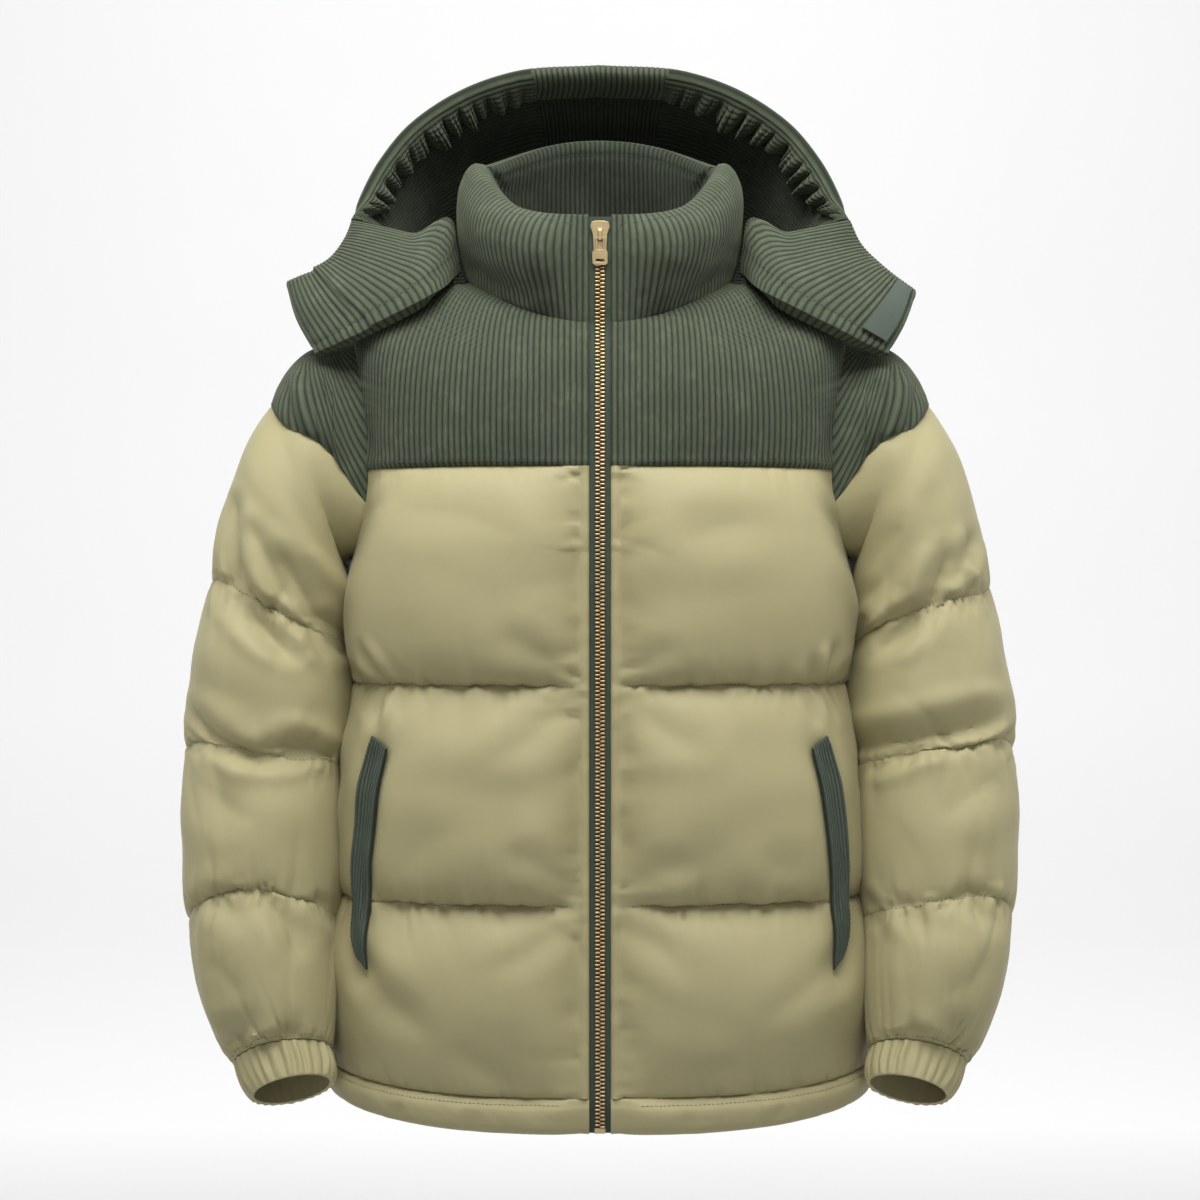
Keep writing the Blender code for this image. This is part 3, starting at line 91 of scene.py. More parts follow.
def smoothRead(keys, values, at, rounded=False):
    # reads a curve through rows; unless it is rounded, it never overshoots them
    keys = np.asarray(keys, dtype=float)
    values = np.asarray(values, dtype=float)
    flat = values.reshape(len(keys), -1)
    slopes = np.diff(flat, axis=0) / np.diff(keys)[:, None]
    if rounded:
        tangents = np.gradient(flat, keys, axis=0)
    else:
        sameWay = slopes[:-1] * slopes[1:] > 0
        total = np.where(sameWay, slopes[:-1] + slopes[1:], 1.0)
        tangents = np.zeros_like(flat)
        tangents[1:-1] = np.where(sameWay, 2.0 * slopes[:-1] * slopes[1:] / total, 0.0)
        tangents[0], tangents[-1] = slopes[0], slopes[-1]
    at = np.asarray(at, dtype=float)
    where = np.clip(np.searchsorted(keys, at.ravel(), side="right") - 1, 0, len(keys) - 2)
    step = np.diff(keys)[where][:, None]
    share = (at.ravel() - keys[where])[:, None] / step
    share = share if rounded else clip01(share)
    read = hermite(flat[where], flat[where + 1], tangents[where] * step, tangents[where + 1] * step, share)
    return read.reshape(at.shape + values.shape[1:])


def readStations(keys, stacked, share):
    # each point reads its own curve through its stations
    steps = np.diff(keys)
    slopes = np.diff(stacked, axis=0) / steps.reshape((-1,) + (1,) * (stacked.ndim - 1))
    tangents = np.concatenate([slopes[:1], (slopes[:-1] + slopes[1:]) / 2, slopes[-1:]])
    where = np.clip(np.searchsorted(keys, share, side="right") - 1, 0, len(keys) - 2)
    step = steps[where][..., None]
    part = (share - keys[where])[..., None] / step
    pick = tuple(np.indices(share.shape))
    return hermite(stacked[(where,) + pick], stacked[(where + 1,) + pick],
                   tangents[(where,) + pick] * step, tangents[(where + 1,) + pick] * step, part)


def noiseLine(at, seed):
    table = np.random.RandomState(seed).uniform(-1.0, 1.0, 512)
    low = np.floor(at).astype(int)
    part = ramp(at - low)
    return table[low % 512] * (1 - part) + table[(low + 1) % 512] * part


def noiseField(first, second, seed):
    table = np.random.RandomState(seed).uniform(-1.0, 1.0, (64, 64))
    row, column = np.floor(first).astype(int), np.floor(second).astype(int)
    rowPart, columnPart = ramp(first - row), ramp(second - column)
    lower = table[row % 64, column % 64] * (1 - columnPart) + table[row % 64, (column + 1) % 64] * columnPart
    upper = (table[(row + 1) % 64, column % 64] * (1 - columnPart)
             + table[(row + 1) % 64, (column + 1) % 64] * columnPart)
    return lower * (1 - rowPart) + upper * rowPart


def puckers(along, away, seed, depth, reach=0.016, finest=0.0040, coarse=1.0):
    # narrow valleys that start at a seam, run into each other and die out away from it
    away = np.abs(away)
    total = np.zeros(np.broadcast(along, away).shape)
    # scale, share and reach of each set of valleys
    sets = ((1.0, 1.35, 0.50), (2.4, 0.95, 1.0), (6.0, coarse, 2.1))
    for number, (scale, share, stretch) in enumerate(sets):
        lean = 0.6 * noiseLine(along / (finest * scale * 3), seed + 40 + number) * away
        wave = noiseLine((along + lean) / (finest * scale), seed + number)
        strength = 0.75 + 0.6 * noiseLine(along / (finest * scale * 1.7), seed + 60 + number)
        valley = 0.42 - 1.5 * (1.0 - np.abs(wave)) ** 3
        total = total + share * strength * valley * np.exp(-away / (reach * stretch))
    return depth * total * (1.0 - np.exp(-away / 0.0018))


def creases(points, table):
    # folds seen from the front, in millimetres: half width, depth (a ridge is below 0),
    # then x and z of each end and bend
    depth = np.zeros(points.shape[:-1])
    flat = points[..., [0, 2]] * 1000.0
    for halfWidth, deepest, *bends in table:
        bends = np.array(bends, dtype=float).reshape(-1, 2)
        runs = np.linalg.norm(np.diff(bends, axis=0), axis=1)
        reach = np.concatenate([[0.0], np.cumsum(runs)])
        nearest = np.full(flat.shape[:-1], 1e9)
        place = np.zeros(flat.shape[:-1])
        for number, run in enumerate(runs):
            step = bends[number + 1] - bends[number]
            share = clip01(((flat - bends[number]) @ step) / (step @ step))
            away = np.linalg.norm(flat - bends[number] - share[..., None] * step, axis=-1)
            closer = away < nearest
            nearest = np.where(closer, away, nearest)
            place = np.where(closer, (reach[number] + share * run) / reach[-1], place)
        taper = np.sqrt(clip01(4 * place * (1 - place))) * 0.75 + 0.25
        width = halfWidth * (0.6 + 0.4 * taper)
        valley = np.exp(-1.15 * (nearest / width) ** (1.3 if deepest > 0 else 2.0))
        fold = valley - 0.45 * np.exp(-(((nearest - 2.1 * width) / width) ** 2))
        depth = depth + deepest * 0.001 * taper * fold
    return depth


def distances(points, axis):
    steps = np.linalg.norm(np.diff(points, axis=axis), axis=-1)
    zero = np.zeros_like(np.take(steps, [0], axis=axis))
    return np.concatenate([zero, np.cumsum(steps, axis=axis)], axis=axis)


def waleHeight(index):
    within = index - np.floor(index)
    return 1.0 - np.abs(2.0 * within - 1.0) ** 2.6


def waleSteps(count):
    # six points across each wale
    within = np.array([0.0, 0.12, 0.30, 0.50, 0.70, 0.88])
    return np.append((np.arange(count)[:, None] + within).ravel(), count)


def unit(vectors):
    return vectors / np.maximum(np.linalg.norm(vectors, axis=-1, keepdims=True), 1e-12)


def surfaceNormals(surface, first, second, sign=1.0, step=1e-4):
    alongFirst = surface(first + step, second) - surface(first - step, second)
    alongSecond = surface(first, second + step) - surface(first, second - step)
    return unit(np.cross(alongFirst, alongSecond) * sign)


# meshes


def gridFaces(rows, columns, wrapped, offset):
    spans = columns if wrapped else columns - 1
    row, first = np.meshgrid(np.arange(rows - 1), np.arange(spans), indexing="ij")
    second = (first + 1) % columns
    corners = [row * columns + first, row * columns + second, (row + 1) * columns + second,
               (row + 1) * columns + first]
    return np.stack(corners, axis=-1).reshape(-1, 4) + offset


def thinned(count, step, wrapped=False):
    # every nth of a count, with its last one unless it closes on itself
    return np.arange(0, count, step) if wrapped else np.append(np.arange(0, count - 1, step), count - 1)


# a piece's mesh takes every nth row and column of its grid, which keeps the whole near a million triangles
meshed = {"quiltedBack": (2, 2), "collarPadded": (2, 1), "yokeBack": (2, 1), "hoodCentre": (2, 1)}
for name, steps in (("quiltedFront", (2, 2)), ("sleeve", (2, 2)), ("yokeFront", (2, 1)), ("cap", (2, 1)),
                    ("cuff", (2, 1)), ("hoodSide", (1, 2)), ("tab", (3, 1)), ("welt", (2, 1))):
    meshed[name + "Right"] = meshed[name + "Left"] = steps


def makeShell(name, outer, inner, cloth, material, lining=None, step=1, wrapped=False):
    # a closed wall from two grids of points; the hidden skin may be coarser by step
    rowStep, columnStep = meshed.get(name, (1, 1))
    kept = np.ix_(thinned(outer.shape[0], rowStep), thinned(outer.shape[1], columnStep, wrapped))
    outer, inner, cloth = outer[kept], inner[kept], cloth[kept]
    rows, columns = outer.shape[:2]
    innerRows, innerColumns = thinned(rows, step), thinned(columns, step, wrapped)
    coarse = inner[np.ix_(innerRows, innerColumns)]
    offset = rows * columns
    across = len(innerColumns)
    points = np.concatenate([outer.reshape(-1, 3), coarse.reshape(-1, 3)])
    marks = np.concatenate([cloth.reshape(-1, 2), cloth[np.ix_(innerRows, innerColumns)].reshape(-1, 2)])
    faces = gridFaces(rows, columns, wrapped, 0).tolist()
    outerCount = len(faces)
    faces += gridFaces(len(innerRows), across, wrapped, offset)[:, ::-1].tolist()
    innerCount = len(faces)
    spans = across if wrapped else across - 1
    for edge, row in ((0, 0), (rows - 1, len(innerRows) - 1)):
        for first in range(spans):
            second = (first + 1) % across
            last = innerColumns[second] if second else columns
            between = [edge * columns + place % columns for place in range(innerColumns[first], last + 1)]
            rim = between[::-1] + [offset + row * across + first, offset + row * across + second]
            faces.append(rim if edge == 0 else rim[::-1])
    if not wrapped:
        for edge, column in ((0, 0), (columns - 1, across - 1)):
            for first, (low, high) in enumerate(zip(innerRows[:-1], innerRows[1:])):
                between = [place * columns + edge for place in range(low, high + 1)]
                rim = between + [offset + (first + 1) * across + column, offset + first * across + column]
                faces.append(rim if edge == 0 else rim[::-1])
    data = bpy.data.meshes.new(name)
    data.from_pydata(points.tolist(), [], faces)
    piece = placed(name, data)
    data.materials.append(material)
    if lining is not None:
        data.materials.append(lining)
        slots = np.zeros(len(faces), dtype=np.int32)
        slots[outerCount:innerCount] = 1
        data.polygons.foreach_set("material_index", slots)
    turnOutwards(data)
    corners = np.empty(len(data.loops), dtype=np.int32)
    data.loops.foreach_get("vertex_index", corners)
    places = marks[corners]
    if wrapped:
        places = closeTheRound(data, places, cloth[0, :, 0])
    layer = data.uv_layers.new(name="cloth")
    layer.data.foreach_set("uv", places.astype(np.float32).ravel())
    data.shade_smooth()
    data.set_sharp_from_angle(angle=math.radians(60))
    return piece


def closeTheRound(data, places, aroundLine):
    # the last column's far corners read on, instead of jumping back to the start
    period = aroundLine[-1] + (aroundLine[-1] - aroundLine[-2])
    starts = np.empty(len(data.polygons), dtype=np.int32)
    counts = np.empty(len(data.polygons), dtype=np.int32)
    data.polygons.foreach_get("loop_start", starts)
    data.polygons.foreach_get("loop_total", counts)
    face = np.repeat(np.arange(len(starts)), counts)
    highest = np.maximum.reduceat(places[:, 0], starts)[face]
    jump = (highest - places[:, 0]) > period / 2
    places = places.copy()
    places[jump, 0] += period
    return places


def turnOutwards(data):
    mesh = bmesh.new()
    mesh.from_mesh(data)
    bmesh.ops.recalc_face_normals(mesh, faces=mesh.faces[:])
    mesh.to_mesh(data)
    mesh.free()


def settle(piece, body, node, slotName=None, padding=None, sheet=None):
    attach(piece, body)
    for name in ([node] if isinstance(node, str) else node):
        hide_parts(name)
    return piece


def panel(name, node, slotName, outer, inner, cloth, lining=None, step=1, wrapped=False, look=None, **form):
    # a shell in the look of its slot, unless another is named, that takes the place of a soft solid
    piece = makeShell(name, outer, inner, cloth, looks[look or slotName], looks.get(lining), step, wrapped)
    return settle(piece, "jacket", node, slotName, **form)


def clothMarks(points, across=None):
    # where each point lies on the cloth, in wale pitches across and along
    marks = np.stack([distances(points, 1), distances(points, 0)], axis=-1) / pitch
    if across is not None:
        marks[..., 0] = across
    return marks


# materials


class Wire:
    # wraps a shader socket, so that sums are written as plain expressions
    def __init__(self, tree, socket):
        self.tree, self.socket = tree, socket

    def math(self, operation, first, second):
        return self.tree.add("ShaderNodeMath", {"operation": operation}, [first, second])


def operator(operation, turned=False):
    def apply(first, second=0.0):
        return first.math(operation, *((second, first) if turned else (first, second)))
    return apply


for sign, operation in (("add", "ADD"), ("radd", "ADD"), ("sub", "SUBTRACT"), ("mul", "MULTIPLY"),
                        ("rmul", "MULTIPLY"), ("pow", "POWER"), ("abs", "ABSOLUTE")):
    setattr(Wire, "__" + sign + "__", operator(operation))
Wire.__rsub__ = operator("SUBTRACT", turned=True)


class Graph:
    # adds nodes to a tree: kind, settings, then what its sockets hold or take
    def __init__(self, tree):
        self.nodes, self.links = tree.nodes, tree.links

    def add(self, kind, settings=None, values=(), output=0):
        node = self.nodes.new(kind)
        for name, value in (settings or {}).items():
            if name == "stops":
                self.setStops(node.color_ramp, value)
            else:
                setattr(node, name, value)
        pairs = values.items() if isinstance(values, dict) else enumerate(values)
        for key, value in pairs:
            if isinstance(value, Wire):
                self.links.new(value.socket, node.inputs[key])
            else:
                node.inputs[key].default_value = value
        return Wire(self, node.outputs[output])

    def setStops(self, rampOf, stops):
        while len(rampOf.elements) < len(stops):
            rampOf.elements.new(0.5)
        for element, (position, colour) in zip(rampOf.elements, stops):
            element.position = position
            element.color = (*colour, 1.0)


class Finish(Graph):
    # one material and its nodes
    def __init__(self, name, **constants):
        self.material = bpy.data.materials.new(name)
        self.material.use_nodes = True
        super().__init__(self.material.node_tree)
        self.shader = self.nodes["Principled BSDF"]
        for socket, value in constants.items():
            label = "".join(" " + letter if letter.isupper() else letter for letter in socket)
            self.shader.inputs[label.title().replace("Ior", "IOR")].default_value = value

    def mix(self, share, first, second):
        values = {0: share, 6: asColour(first), 7: asColour(second)}
        return self.add("ShaderNodeMix", {"data_type": "RGBA"}, values, output=2)

    def noise(self, at, scale, detail=2.0, roughness=0.5):
        values = {"Vector": at, "Scale": scale, "Detail": detail, "Roughness": roughness}
        return self.add("ShaderNodeTexNoise", {}, values)

    def stretched(self, at, x, y, z=1.0):
        return self.add("ShaderNodeVectorMath", {"operation": "MULTIPLY"}, {0: at, 1: (x, y, z)})

    def split(self, at):
        node = self.nodes.new("ShaderNodeSeparateXYZ")
        self.links.new(at.socket, node.inputs[0])
        return [Wire(self, socket) for socket in node.outputs]

    def cloth(self):
        return self.add("ShaderNodeUVMap", {"uv_map": "cloth"})

    def place(self):
        return self.add("ShaderNodeTexCoord", output=3)

    def fraction(self, value):
        return self.add("ShaderNodeMath", {"operation": "FRACT"}, [value])

    def wave(self, value):
        return self.add("ShaderNodeMath", {"operation": "SINE"}, [value])

    def feed(self, **links):
        for name, wire in links.items():
            label = {"baseColour": "Base Color", "roughness": "Roughness", "normal": "Normal",
                     "metallic": "Metallic", "emission": "Emission Color"}[name]
            self.links.new(wire.socket, self.shader.inputs[label])

    def bump(self, height, distance, strength=1.0):
        return self.add("ShaderNodeBump", {}, {"Height": height, "Distance": distance, "Strength": strength})


def asColour(value):
    return value if isinstance(value, Wire) else (*value, 1.0)


def makeCorduroy(name, groove, ridge, tip):
    finish = Finish(name, sheenWeight=0.14, sheenRoughness=0.45, sheenTint=(0.60, 0.68, 0.48, 1.0),
                    specularIorLevel=0.18)
    cloth = finish.cloth()
    within = finish.fraction(finish.split(cloth)[0])
    wale = 1.0 - abs(within * 2.0 - 1.0) ** 1.8
    fibres = finish.noise(finish.stretched(cloth, 9.0, 3.0), 1.0, 3.0, 0.65)
    pile = finish.noise(finish.stretched(cloth, 2.2, 0.55), 1.0, 2.0)
    crushed = finish.noise(finish.place(), 55.0, 3.0, 0.6)
    # the wale's profile darkens the grooves with painted shade and lightens the ridges with a painted
    # highlight, mixed with random fibre and pile tone
    shade = wale * (0.30 + 0.50 * fibres + 0.42 * pile)
    base = finish.mix(shade, groove, ridge)
    worn = finish.add("ShaderNodeValToRGB", {"stops": ((0.50, (0, 0, 0)), (0.92, (1, 1, 1)))},
                      [crushed * 0.75 + pile * 0.25])
    base = finish.mix(worn * shade, base, tip)
    height = fibres * 0.5 + pile * 0.5
    finish.feed(baseColour=base, roughness=0.96 - 0.14 * shade, normal=finish.bump(height, 0.00035, 0.55))
    return finish.material


def makeShellCloth(name, dark, light):
    finish = Finish(name, sheenWeight=0.12, sheenRoughness=0.4, sheenTint=(0.9, 0.88, 0.75, 1.0),
                    specularIorLevel=0.32)
    cloth = finish.cloth()
    across, along, _ = finish.split(cloth)
    weave = finish.wave(across * 56.0) * finish.wave(along * 56.0)
    slubs = finish.noise(finish.stretched(cloth, 6.0, 0.8), 1.0, 2.0)
    patches = finish.noise(finish.place(), 9.0, 4.0, 0.6)
    tone = patches * 0.65 + slubs * 0.2 + 0.075 + weave * 0.035
    fine = finish.noise(finish.place(), 240.0, 3.0, 0.6)
    height = weave * 0.10 + slubs * 0.18 + fine * 0.45
    finish.feed(baseColour=finish.mix(tone, dark, light), roughness=0.50 + 0.16 * fine,
                normal=finish.bump(height, 0.0003, 0.5))
    return finish.material


def makePlainCloth(name, dark, light, roughness=0.7, weaveCount=36.0):
    finish = Finish(name, sheenWeight=0.10, specularIorLevel=0.3)
    across, along, _ = finish.split(finish.cloth())
    weave = finish.wave(across * weaveCount) * finish.wave(along * weaveCount)
    patches = finish.noise(finish.place(), 30.0, 3.0)
    tone = patches * 0.7 + 0.15 + weave * 0.12
    finish.feed(baseColour=finish.mix(tone, dark, light), roughness=roughness + 0.1 * patches,
                normal=finish.bump(weave * 0.5 + patches * 0.3, 0.00025, 0.5))
    return finish.material


def makeThread(name, dark, light):
    finish = Finish(name, sheenWeight=0.2, specularIorLevel=0.3)
    strands = finish.noise(finish.place(), 2600.0, 2.0)
    finish.feed(baseColour=finish.mix(strands, dark, light), roughness=0.6 + 0.2 * strands,
                normal=finish.bump(strands, 0.0001, 0.6))
    return finish.material


def makeBrass(name, bright, dull, roughness, wear):
    finish = Finish(name, metallic=1.0)
    tarnish = finish.noise(finish.place(), 900.0, 4.0, 0.6)
    scratches = finish.noise(finish.stretched(finish.place(), 4000.0, 900.0, 700.0), 1.0, 2.0)
    tone = tarnish * wear + scratches * (1.0 - wear)
    finish.feed(baseColour=finish.mix(tone, dull, bright), roughness=roughness + 0.22 * tarnish,
                normal=finish.bump(scratches, 0.00004, 0.35))
    return finish.material


# colours run from dark to light; corduroy has groove, ridge and worn tip, its dark groove colour painted
# shade and its light ridge colour a painted highlight
looks = {
    "shell": makeShellCloth("shellCloth", (0.300, 0.266, 0.138), (0.372, 0.334, 0.180)),
    "corduroy": makeCorduroy("greenCorduroy", (0.016, 0.021, 0.013), (0.088, 0.103, 0.067),
                             (0.126, 0.144, 0.096)),
    # the same corduroy made darker for the insides of the collar and hood: painted shade, where these insides
    # lie in shade
    "paintedShadeCorduroy": makeCorduroy("insideCorduroyPaintedShade", (0.010, 0.013, 0.009), (0.046, 0.055, 0.038),
                                   (0.066, 0.076, 0.054)),
    "fineCorduroy": makeCorduroy("weltCorduroy", (0.022, 0.030, 0.023), (0.084, 0.104, 0.080),
                                 (0.112, 0.136, 0.106)),
    "lining": makePlainCloth("bodyLining", (0.020, 0.026, 0.020), (0.034, 0.042, 0.032), 0.55),
    "tape": makePlainCloth("zipTape", (0.024, 0.036, 0.024), (0.044, 0.060, 0.040), 0.75, 14.0),
    "patch": makePlainCloth("smoothPatch", (0.040, 0.056, 0.042), (0.066, 0.086, 0.064), 0.6, 20.0),
    "greenThread": makeThread("greenThread", (0.020, 0.030, 0.021), (0.052, 0.070, 0.048)),
    "khakiThread": makeThread("khakiThread", (0.110, 0.098, 0.050), (0.190, 0.170, 0.092)),
    "teeth": makeBrass("brassTeeth", (0.66, 0.47, 0.26), (0.30, 0.19, 0.09), 0.30, 0.7),
    "slider": makeBrass("antiqueBrass", (0.60, 0.47, 0.26), (0.28, 0.21, 0.12), 0.30, 0.75),
}
print("materials made", len(looks))

# where the random numbers of each piece start
seeds = {"front": 100, "frontHang": 180, "backHang": 181, "back": 300, "yoke": 500, "yokeBack": 510,
         "hem": 601, "sleeve": 700, "cuff": 800, "collar": 900, "hoodCentre": 1000, "hoodSide": 1010,
         "rim": 1110, "tab": 1200, "tape": 1300, "teeth": 7, "green": 21, "khaki": 22}

# the body's surface, the same rings as the solids
# each ring: its key, the levels of its front, side and back, half width, depth ahead and behind, squareness

torsoRings = (
    (-0.6500, -0.6500, -0.6340, -0.6470, 0.2010, 0.1170, 0.1180, 3.0),
    (-0.6235, -0.6235, -0.6120, -0.6220, 0.2050, 0.1210, 0.1220, 3.0),
    (-0.5500, -0.5500, -0.5480, -0.5500, 0.2035, 0.1215, 0.1220, 2.9),
    (-0.4800, -0.4800, -0.4800, -0.4800, 0.2000, 0.1210, 0.1215, 2.9),
    (-0.4000, -0.4000, -0.4000, -0.4000, 0.1945, 0.1210, 0.1215, 2.9),
    (-0.3160, -0.3160, -0.3160, -0.3160, 0.1880, 0.1205, 0.1215, 2.9),
    (-0.2170, -0.2170, -0.2170, -0.2170, 0.1920, 0.1200, 0.1220, 2.8),
    (-0.1520, -0.1520, -0.1520, -0.1520, 0.1910, 0.1170, 0.1210, 2.7),
    (-0.0870, -0.0980, -0.0450, -0.0620, 0.1940, 0.1110, 0.1130, 2.5),
    (-0.0400, -0.0680, -0.0210, -0.0080, 0.1460, 0.1040, 0.1000, 2.3),
    (0.0000, -0.0420, 0.0000, 0.0300, 0.1020, 0.0950, 0.0850, 2.15),
)
collarRings = (
    (0.00, -0.0420, 0.0000, 0.0300, 0.1035, 0.0965, 0.0865, 2.15),
    (0.30, -0.0180, 0.0300, 0.0610, 0.1010, 0.0975, 0.0850, 2.15),
    (0.65, 0.0110, 0.0640, 0.0960, 0.1005, 0.0975, 0.0780, 2.15),
    (1.00, 0.0400, 0.0960, 0.1290, 0.0965, 0.0945, 0.0680, 2.15),
)
bodyShape = {
    "wall": 0.003, "puff": 0.022, "puffAtSide": 0.24, "pressed": 0.0036, "puffFromPlacket": 0.045,
    "yokePuff": 0.008, "tapeEdge": 0.0083, "placketStitch": 0.0150, "quiltReturn": 0.8, "neckTurn": 0.015,
    "stitchGroove": 0.0011,
}
armholeShape = {"halfHeight": 0.065, "halfAngle": math.radians(26), "square": 2.3}


def ringPoint(rings, angle, level):
    angle, level = np.broadcast_arrays(np.asarray(angle, dtype=float), np.asarray(level, dtype=float))
    table = np.array(rings)
    read = smoothRead(table[:, 0], table[:, 1:], level)
    front, side, back, wide, ahead, behind, square = np.moveaxis(read, -1, 0)
    sine, cosine = np.sin(angle), np.cos(angle)
    x = wide * power(sine, 2.0 / square)
    y = -np.where(cosine > 0, ahead, behind) * power(cosine, 2.0 / square)
    z = side + (np.where(cosine > 0, front, back) - side) * cosine**2
    return np.stack([x, y, z], axis=-1)


def angleAt(rings, level, x):
    table = np.array(rings)
    read = smoothRead(table[:, 0], table[:, 1:], level)
    return np.arcsin((x / read[..., 3]) ** (read[..., 6] / 2.0))


def torso(angle, level):
    # the rings, eased where the chest turns into the shoulder
    level = np.asarray(level, dtype=float)
    ease = 0.018 * hump(level + 0.087, 0.026)
    readings = ((0.12, -1.0), (0.24, -0.5), (0.28, 0.0), (0.24, 0.5), (0.12, 1.0))
    return sum(share * ringPoint(torsoRings, angle, level + way * ease) for share, way in readings)


def torsoNormal(angle, level):
    level = np.clip(level, seamLevel["hemEdge"] + 2e-4, -2e-4)
    normal = surfaceNormals(torso, angle, level)
    atNeck = ramp((level + bodyShape["neckTurn"]) / bodyShape["neckTurn"])[..., None]
    return unit(normal * (1.0 - atNeck) + unit(normal * np.array([1.0, 1.0, 0.0])) * atNeck)


def besideStitch(points, angles):
    # how far a point at the front lies from the placket's stitching
    return np.where(np.cos(angles) > 0, np.abs(points[..., 0]) - bodyShape["placketStitch"], 0.2)


def gridOf(levels, angles):
    return np.broadcast_to(levels[:, None], angles.shape)


def puffShape(share, exponent=2.4, roundness=0.75, sag=1.0):
    # 0 at both ends of a tier, 1 in its middle, which sags towards its lower seam
    return (1.0 - np.abs(2.0 * clip01(share) ** sag - 1.0) ** exponent) ** roundness


def tierPuff(position, seams, exponent=2.4, roundness=0.75, sag=1.0):
    puff = np.zeros(position.shape)
    for low, high in zip(seams[:-1], seams[1:]):
        puff = puff + puffShape((position - low) / (high - low), exponent, roundness, sag)
    return puff


def spaced(count):
    # from 0 to 1, closer together towards both ends
    even = np.linspace(0.0, 1.0, count + 1)
    return 0.45 * even + 0.55 * (0.5 - 0.5 * np.cos(math.pi * even))


def armhole(turn, shrinkAngle=0.0, shrinkHeight=0.0):
    height = armholeShape["halfHeight"] - shrinkHeight
    halfAngle = armholeShape["halfAngle"] - shrinkAngle
    level = seamLevel["yoke"] + height * power(np.cos(turn), 2.0 / armholeShape["square"])
    return math.pi / 2 - halfAngle * power(np.sin(turn), 2.0 / armholeShape["square"]), level


def armholeSpread(level):
    share = clip01(np.abs(level - seamLevel["yoke"]) / armholeShape["halfHeight"])
    square = armholeShape["square"]
    return armholeShape["halfAngle"] * (1.0 - share**square) ** (1.0 / square)


def nearArmhole(angle, level):
    aside = np.abs(math.pi / 2 - angle) / armholeShape["halfAngle"]
    beyond = np.abs(level - seamLevel["yoke"]) / armholeShape["halfHeight"]
    square = armholeShape["square"]
    return ramp(((aside**square + beyond**square) ** (1.0 / square) - 1.0) / bodyShape["quiltReturn"])


def spacedLevels(stops):
    # levels between seams, closer together at each seam
    parts = [low + (high - low) * spaced(count)[:-1] for low, high, count in stops]
    return np.unique(np.round(np.concatenate(parts + [[stops[-1][1]]]), 7))


def armholeLevels(count, upper, bend=1.0):
    turns = math.pi / 2 * np.linspace(0.0, 1.0, count) ** bend
    rise = armholeShape["halfHeight"] * np.cos(turns) ** (2.0 / armholeShape["square"])
    return seamLevel["yoke"] + (rise if upper else -rise)


def frontAngles(levels, side, columns, placketColumns=8, bend=1.0):
    zipEdge = angleAt(torsoRings, levels, bodyShape["tapeEdge"] - 0.0002)
    stitch = angleAt(torsoRings, levels, bodyShape["placketStitch"])
    strip = zipEdge[:, None] + (stitch - zipEdge)[:, None] * np.linspace(0, 1, placketColumns)[None, :]
    shares = (np.linspace(0.0, 1.0, columns) ** 1.08)[None, 1:]
    toSide, toArmhole = (math.pi / 2 - stitch)[:, None], armholeSpread(levels)[:, None]
    spread = stitch[:, None] + toSide * shares - toArmhole * shares**bend
    return side * np.concatenate([strip, spread], axis=1)


def backAngles(levels, columns, bend=1.0):
    shares = np.linspace(-1.0, 1.0, columns)[None, :]
    angles = math.pi + math.pi / 2 * shares - armholeSpread(levels)[:, None] * power(shares, bend)
    return halfTurned(angles)


# quilted fronts and back

quiltedBody = {
    "frontColumns": 190, "backColumns": 300, "seamPucker": 0.0036, "placketPucker": 0.0034,
    "softFold": 0.0042, "sag": 0.80, "droop": 0.0034, "waver": 0.0011, "bedPuff": 0.50, "strip": 0.0016,
    "deepest": 0.0022, "sidePressedBelow": -0.207, "padding": 0.75,
}
# how strongly the cloth gathers at the hem, lower, upper and yoke seams
seamGathers = (0.7, 1.0, 1.0, 0.35)
# folds as creases() reads them
frontCreases = (
    (5, 4.6, -168, -286, -158, -312, -162, -346), (5, 3.4, -181, -300, -172, -318, -170, -336),
    (4, -2.4, -163, -284, -150, -312, -153, -348), (5, 2.4, -148, -300, -147, -318, -142, -338),
    (5, 3.4, 152, -296, 154, -318, 156, -345), (5, 4.2, 166, -284, 163, -314, 168, -342),
    (4, -2.2, 159, -286, 157, -314, 161, -344), (5, 2.8, 177, -300, 171, -318, 178, -336),
    (7, -2.2, 159, -159, 170, -174, 184, -188), (7, -1.8, -160, -160, -172, -178),
    (10, 2.6, -26, -330, -52, -356, -78, -372), (9, 2.2, -30, -300, -56, -283, -70, -280),
    (10, 2.4, 26, -330, 50, -352, 72, -362), (9, 2.0, 30, -302, 52, -286),
    (9, 2.6, -24, -462, -48, -444, -66, -440), (9, 2.4, -28, -496, -54, -516, -74, -524),
    (9, 2.4, 24, -464, 46, -450, 68, -446), (9, 2.2, 28, -498, 50, -514, 60, -530),
    (12, 1.8, -140, -452, -120, -430, -96, -420), (12, 1.8, 138, -455, 112, -440),
    (10, 2.4, -168, -520, -150, -552, -126, -574), (10, 2.2, 168, -516, 150, -540, 120, -560),
    (14, 1.6, -60, -205, -100, -190, -140, -186), (14, 1.6, 60, -208, 104, -194),
    (9, 1.6, -100, -590, -84, -604, -60, -612), (9, 1.4, 96, -596, 76, -608),
)
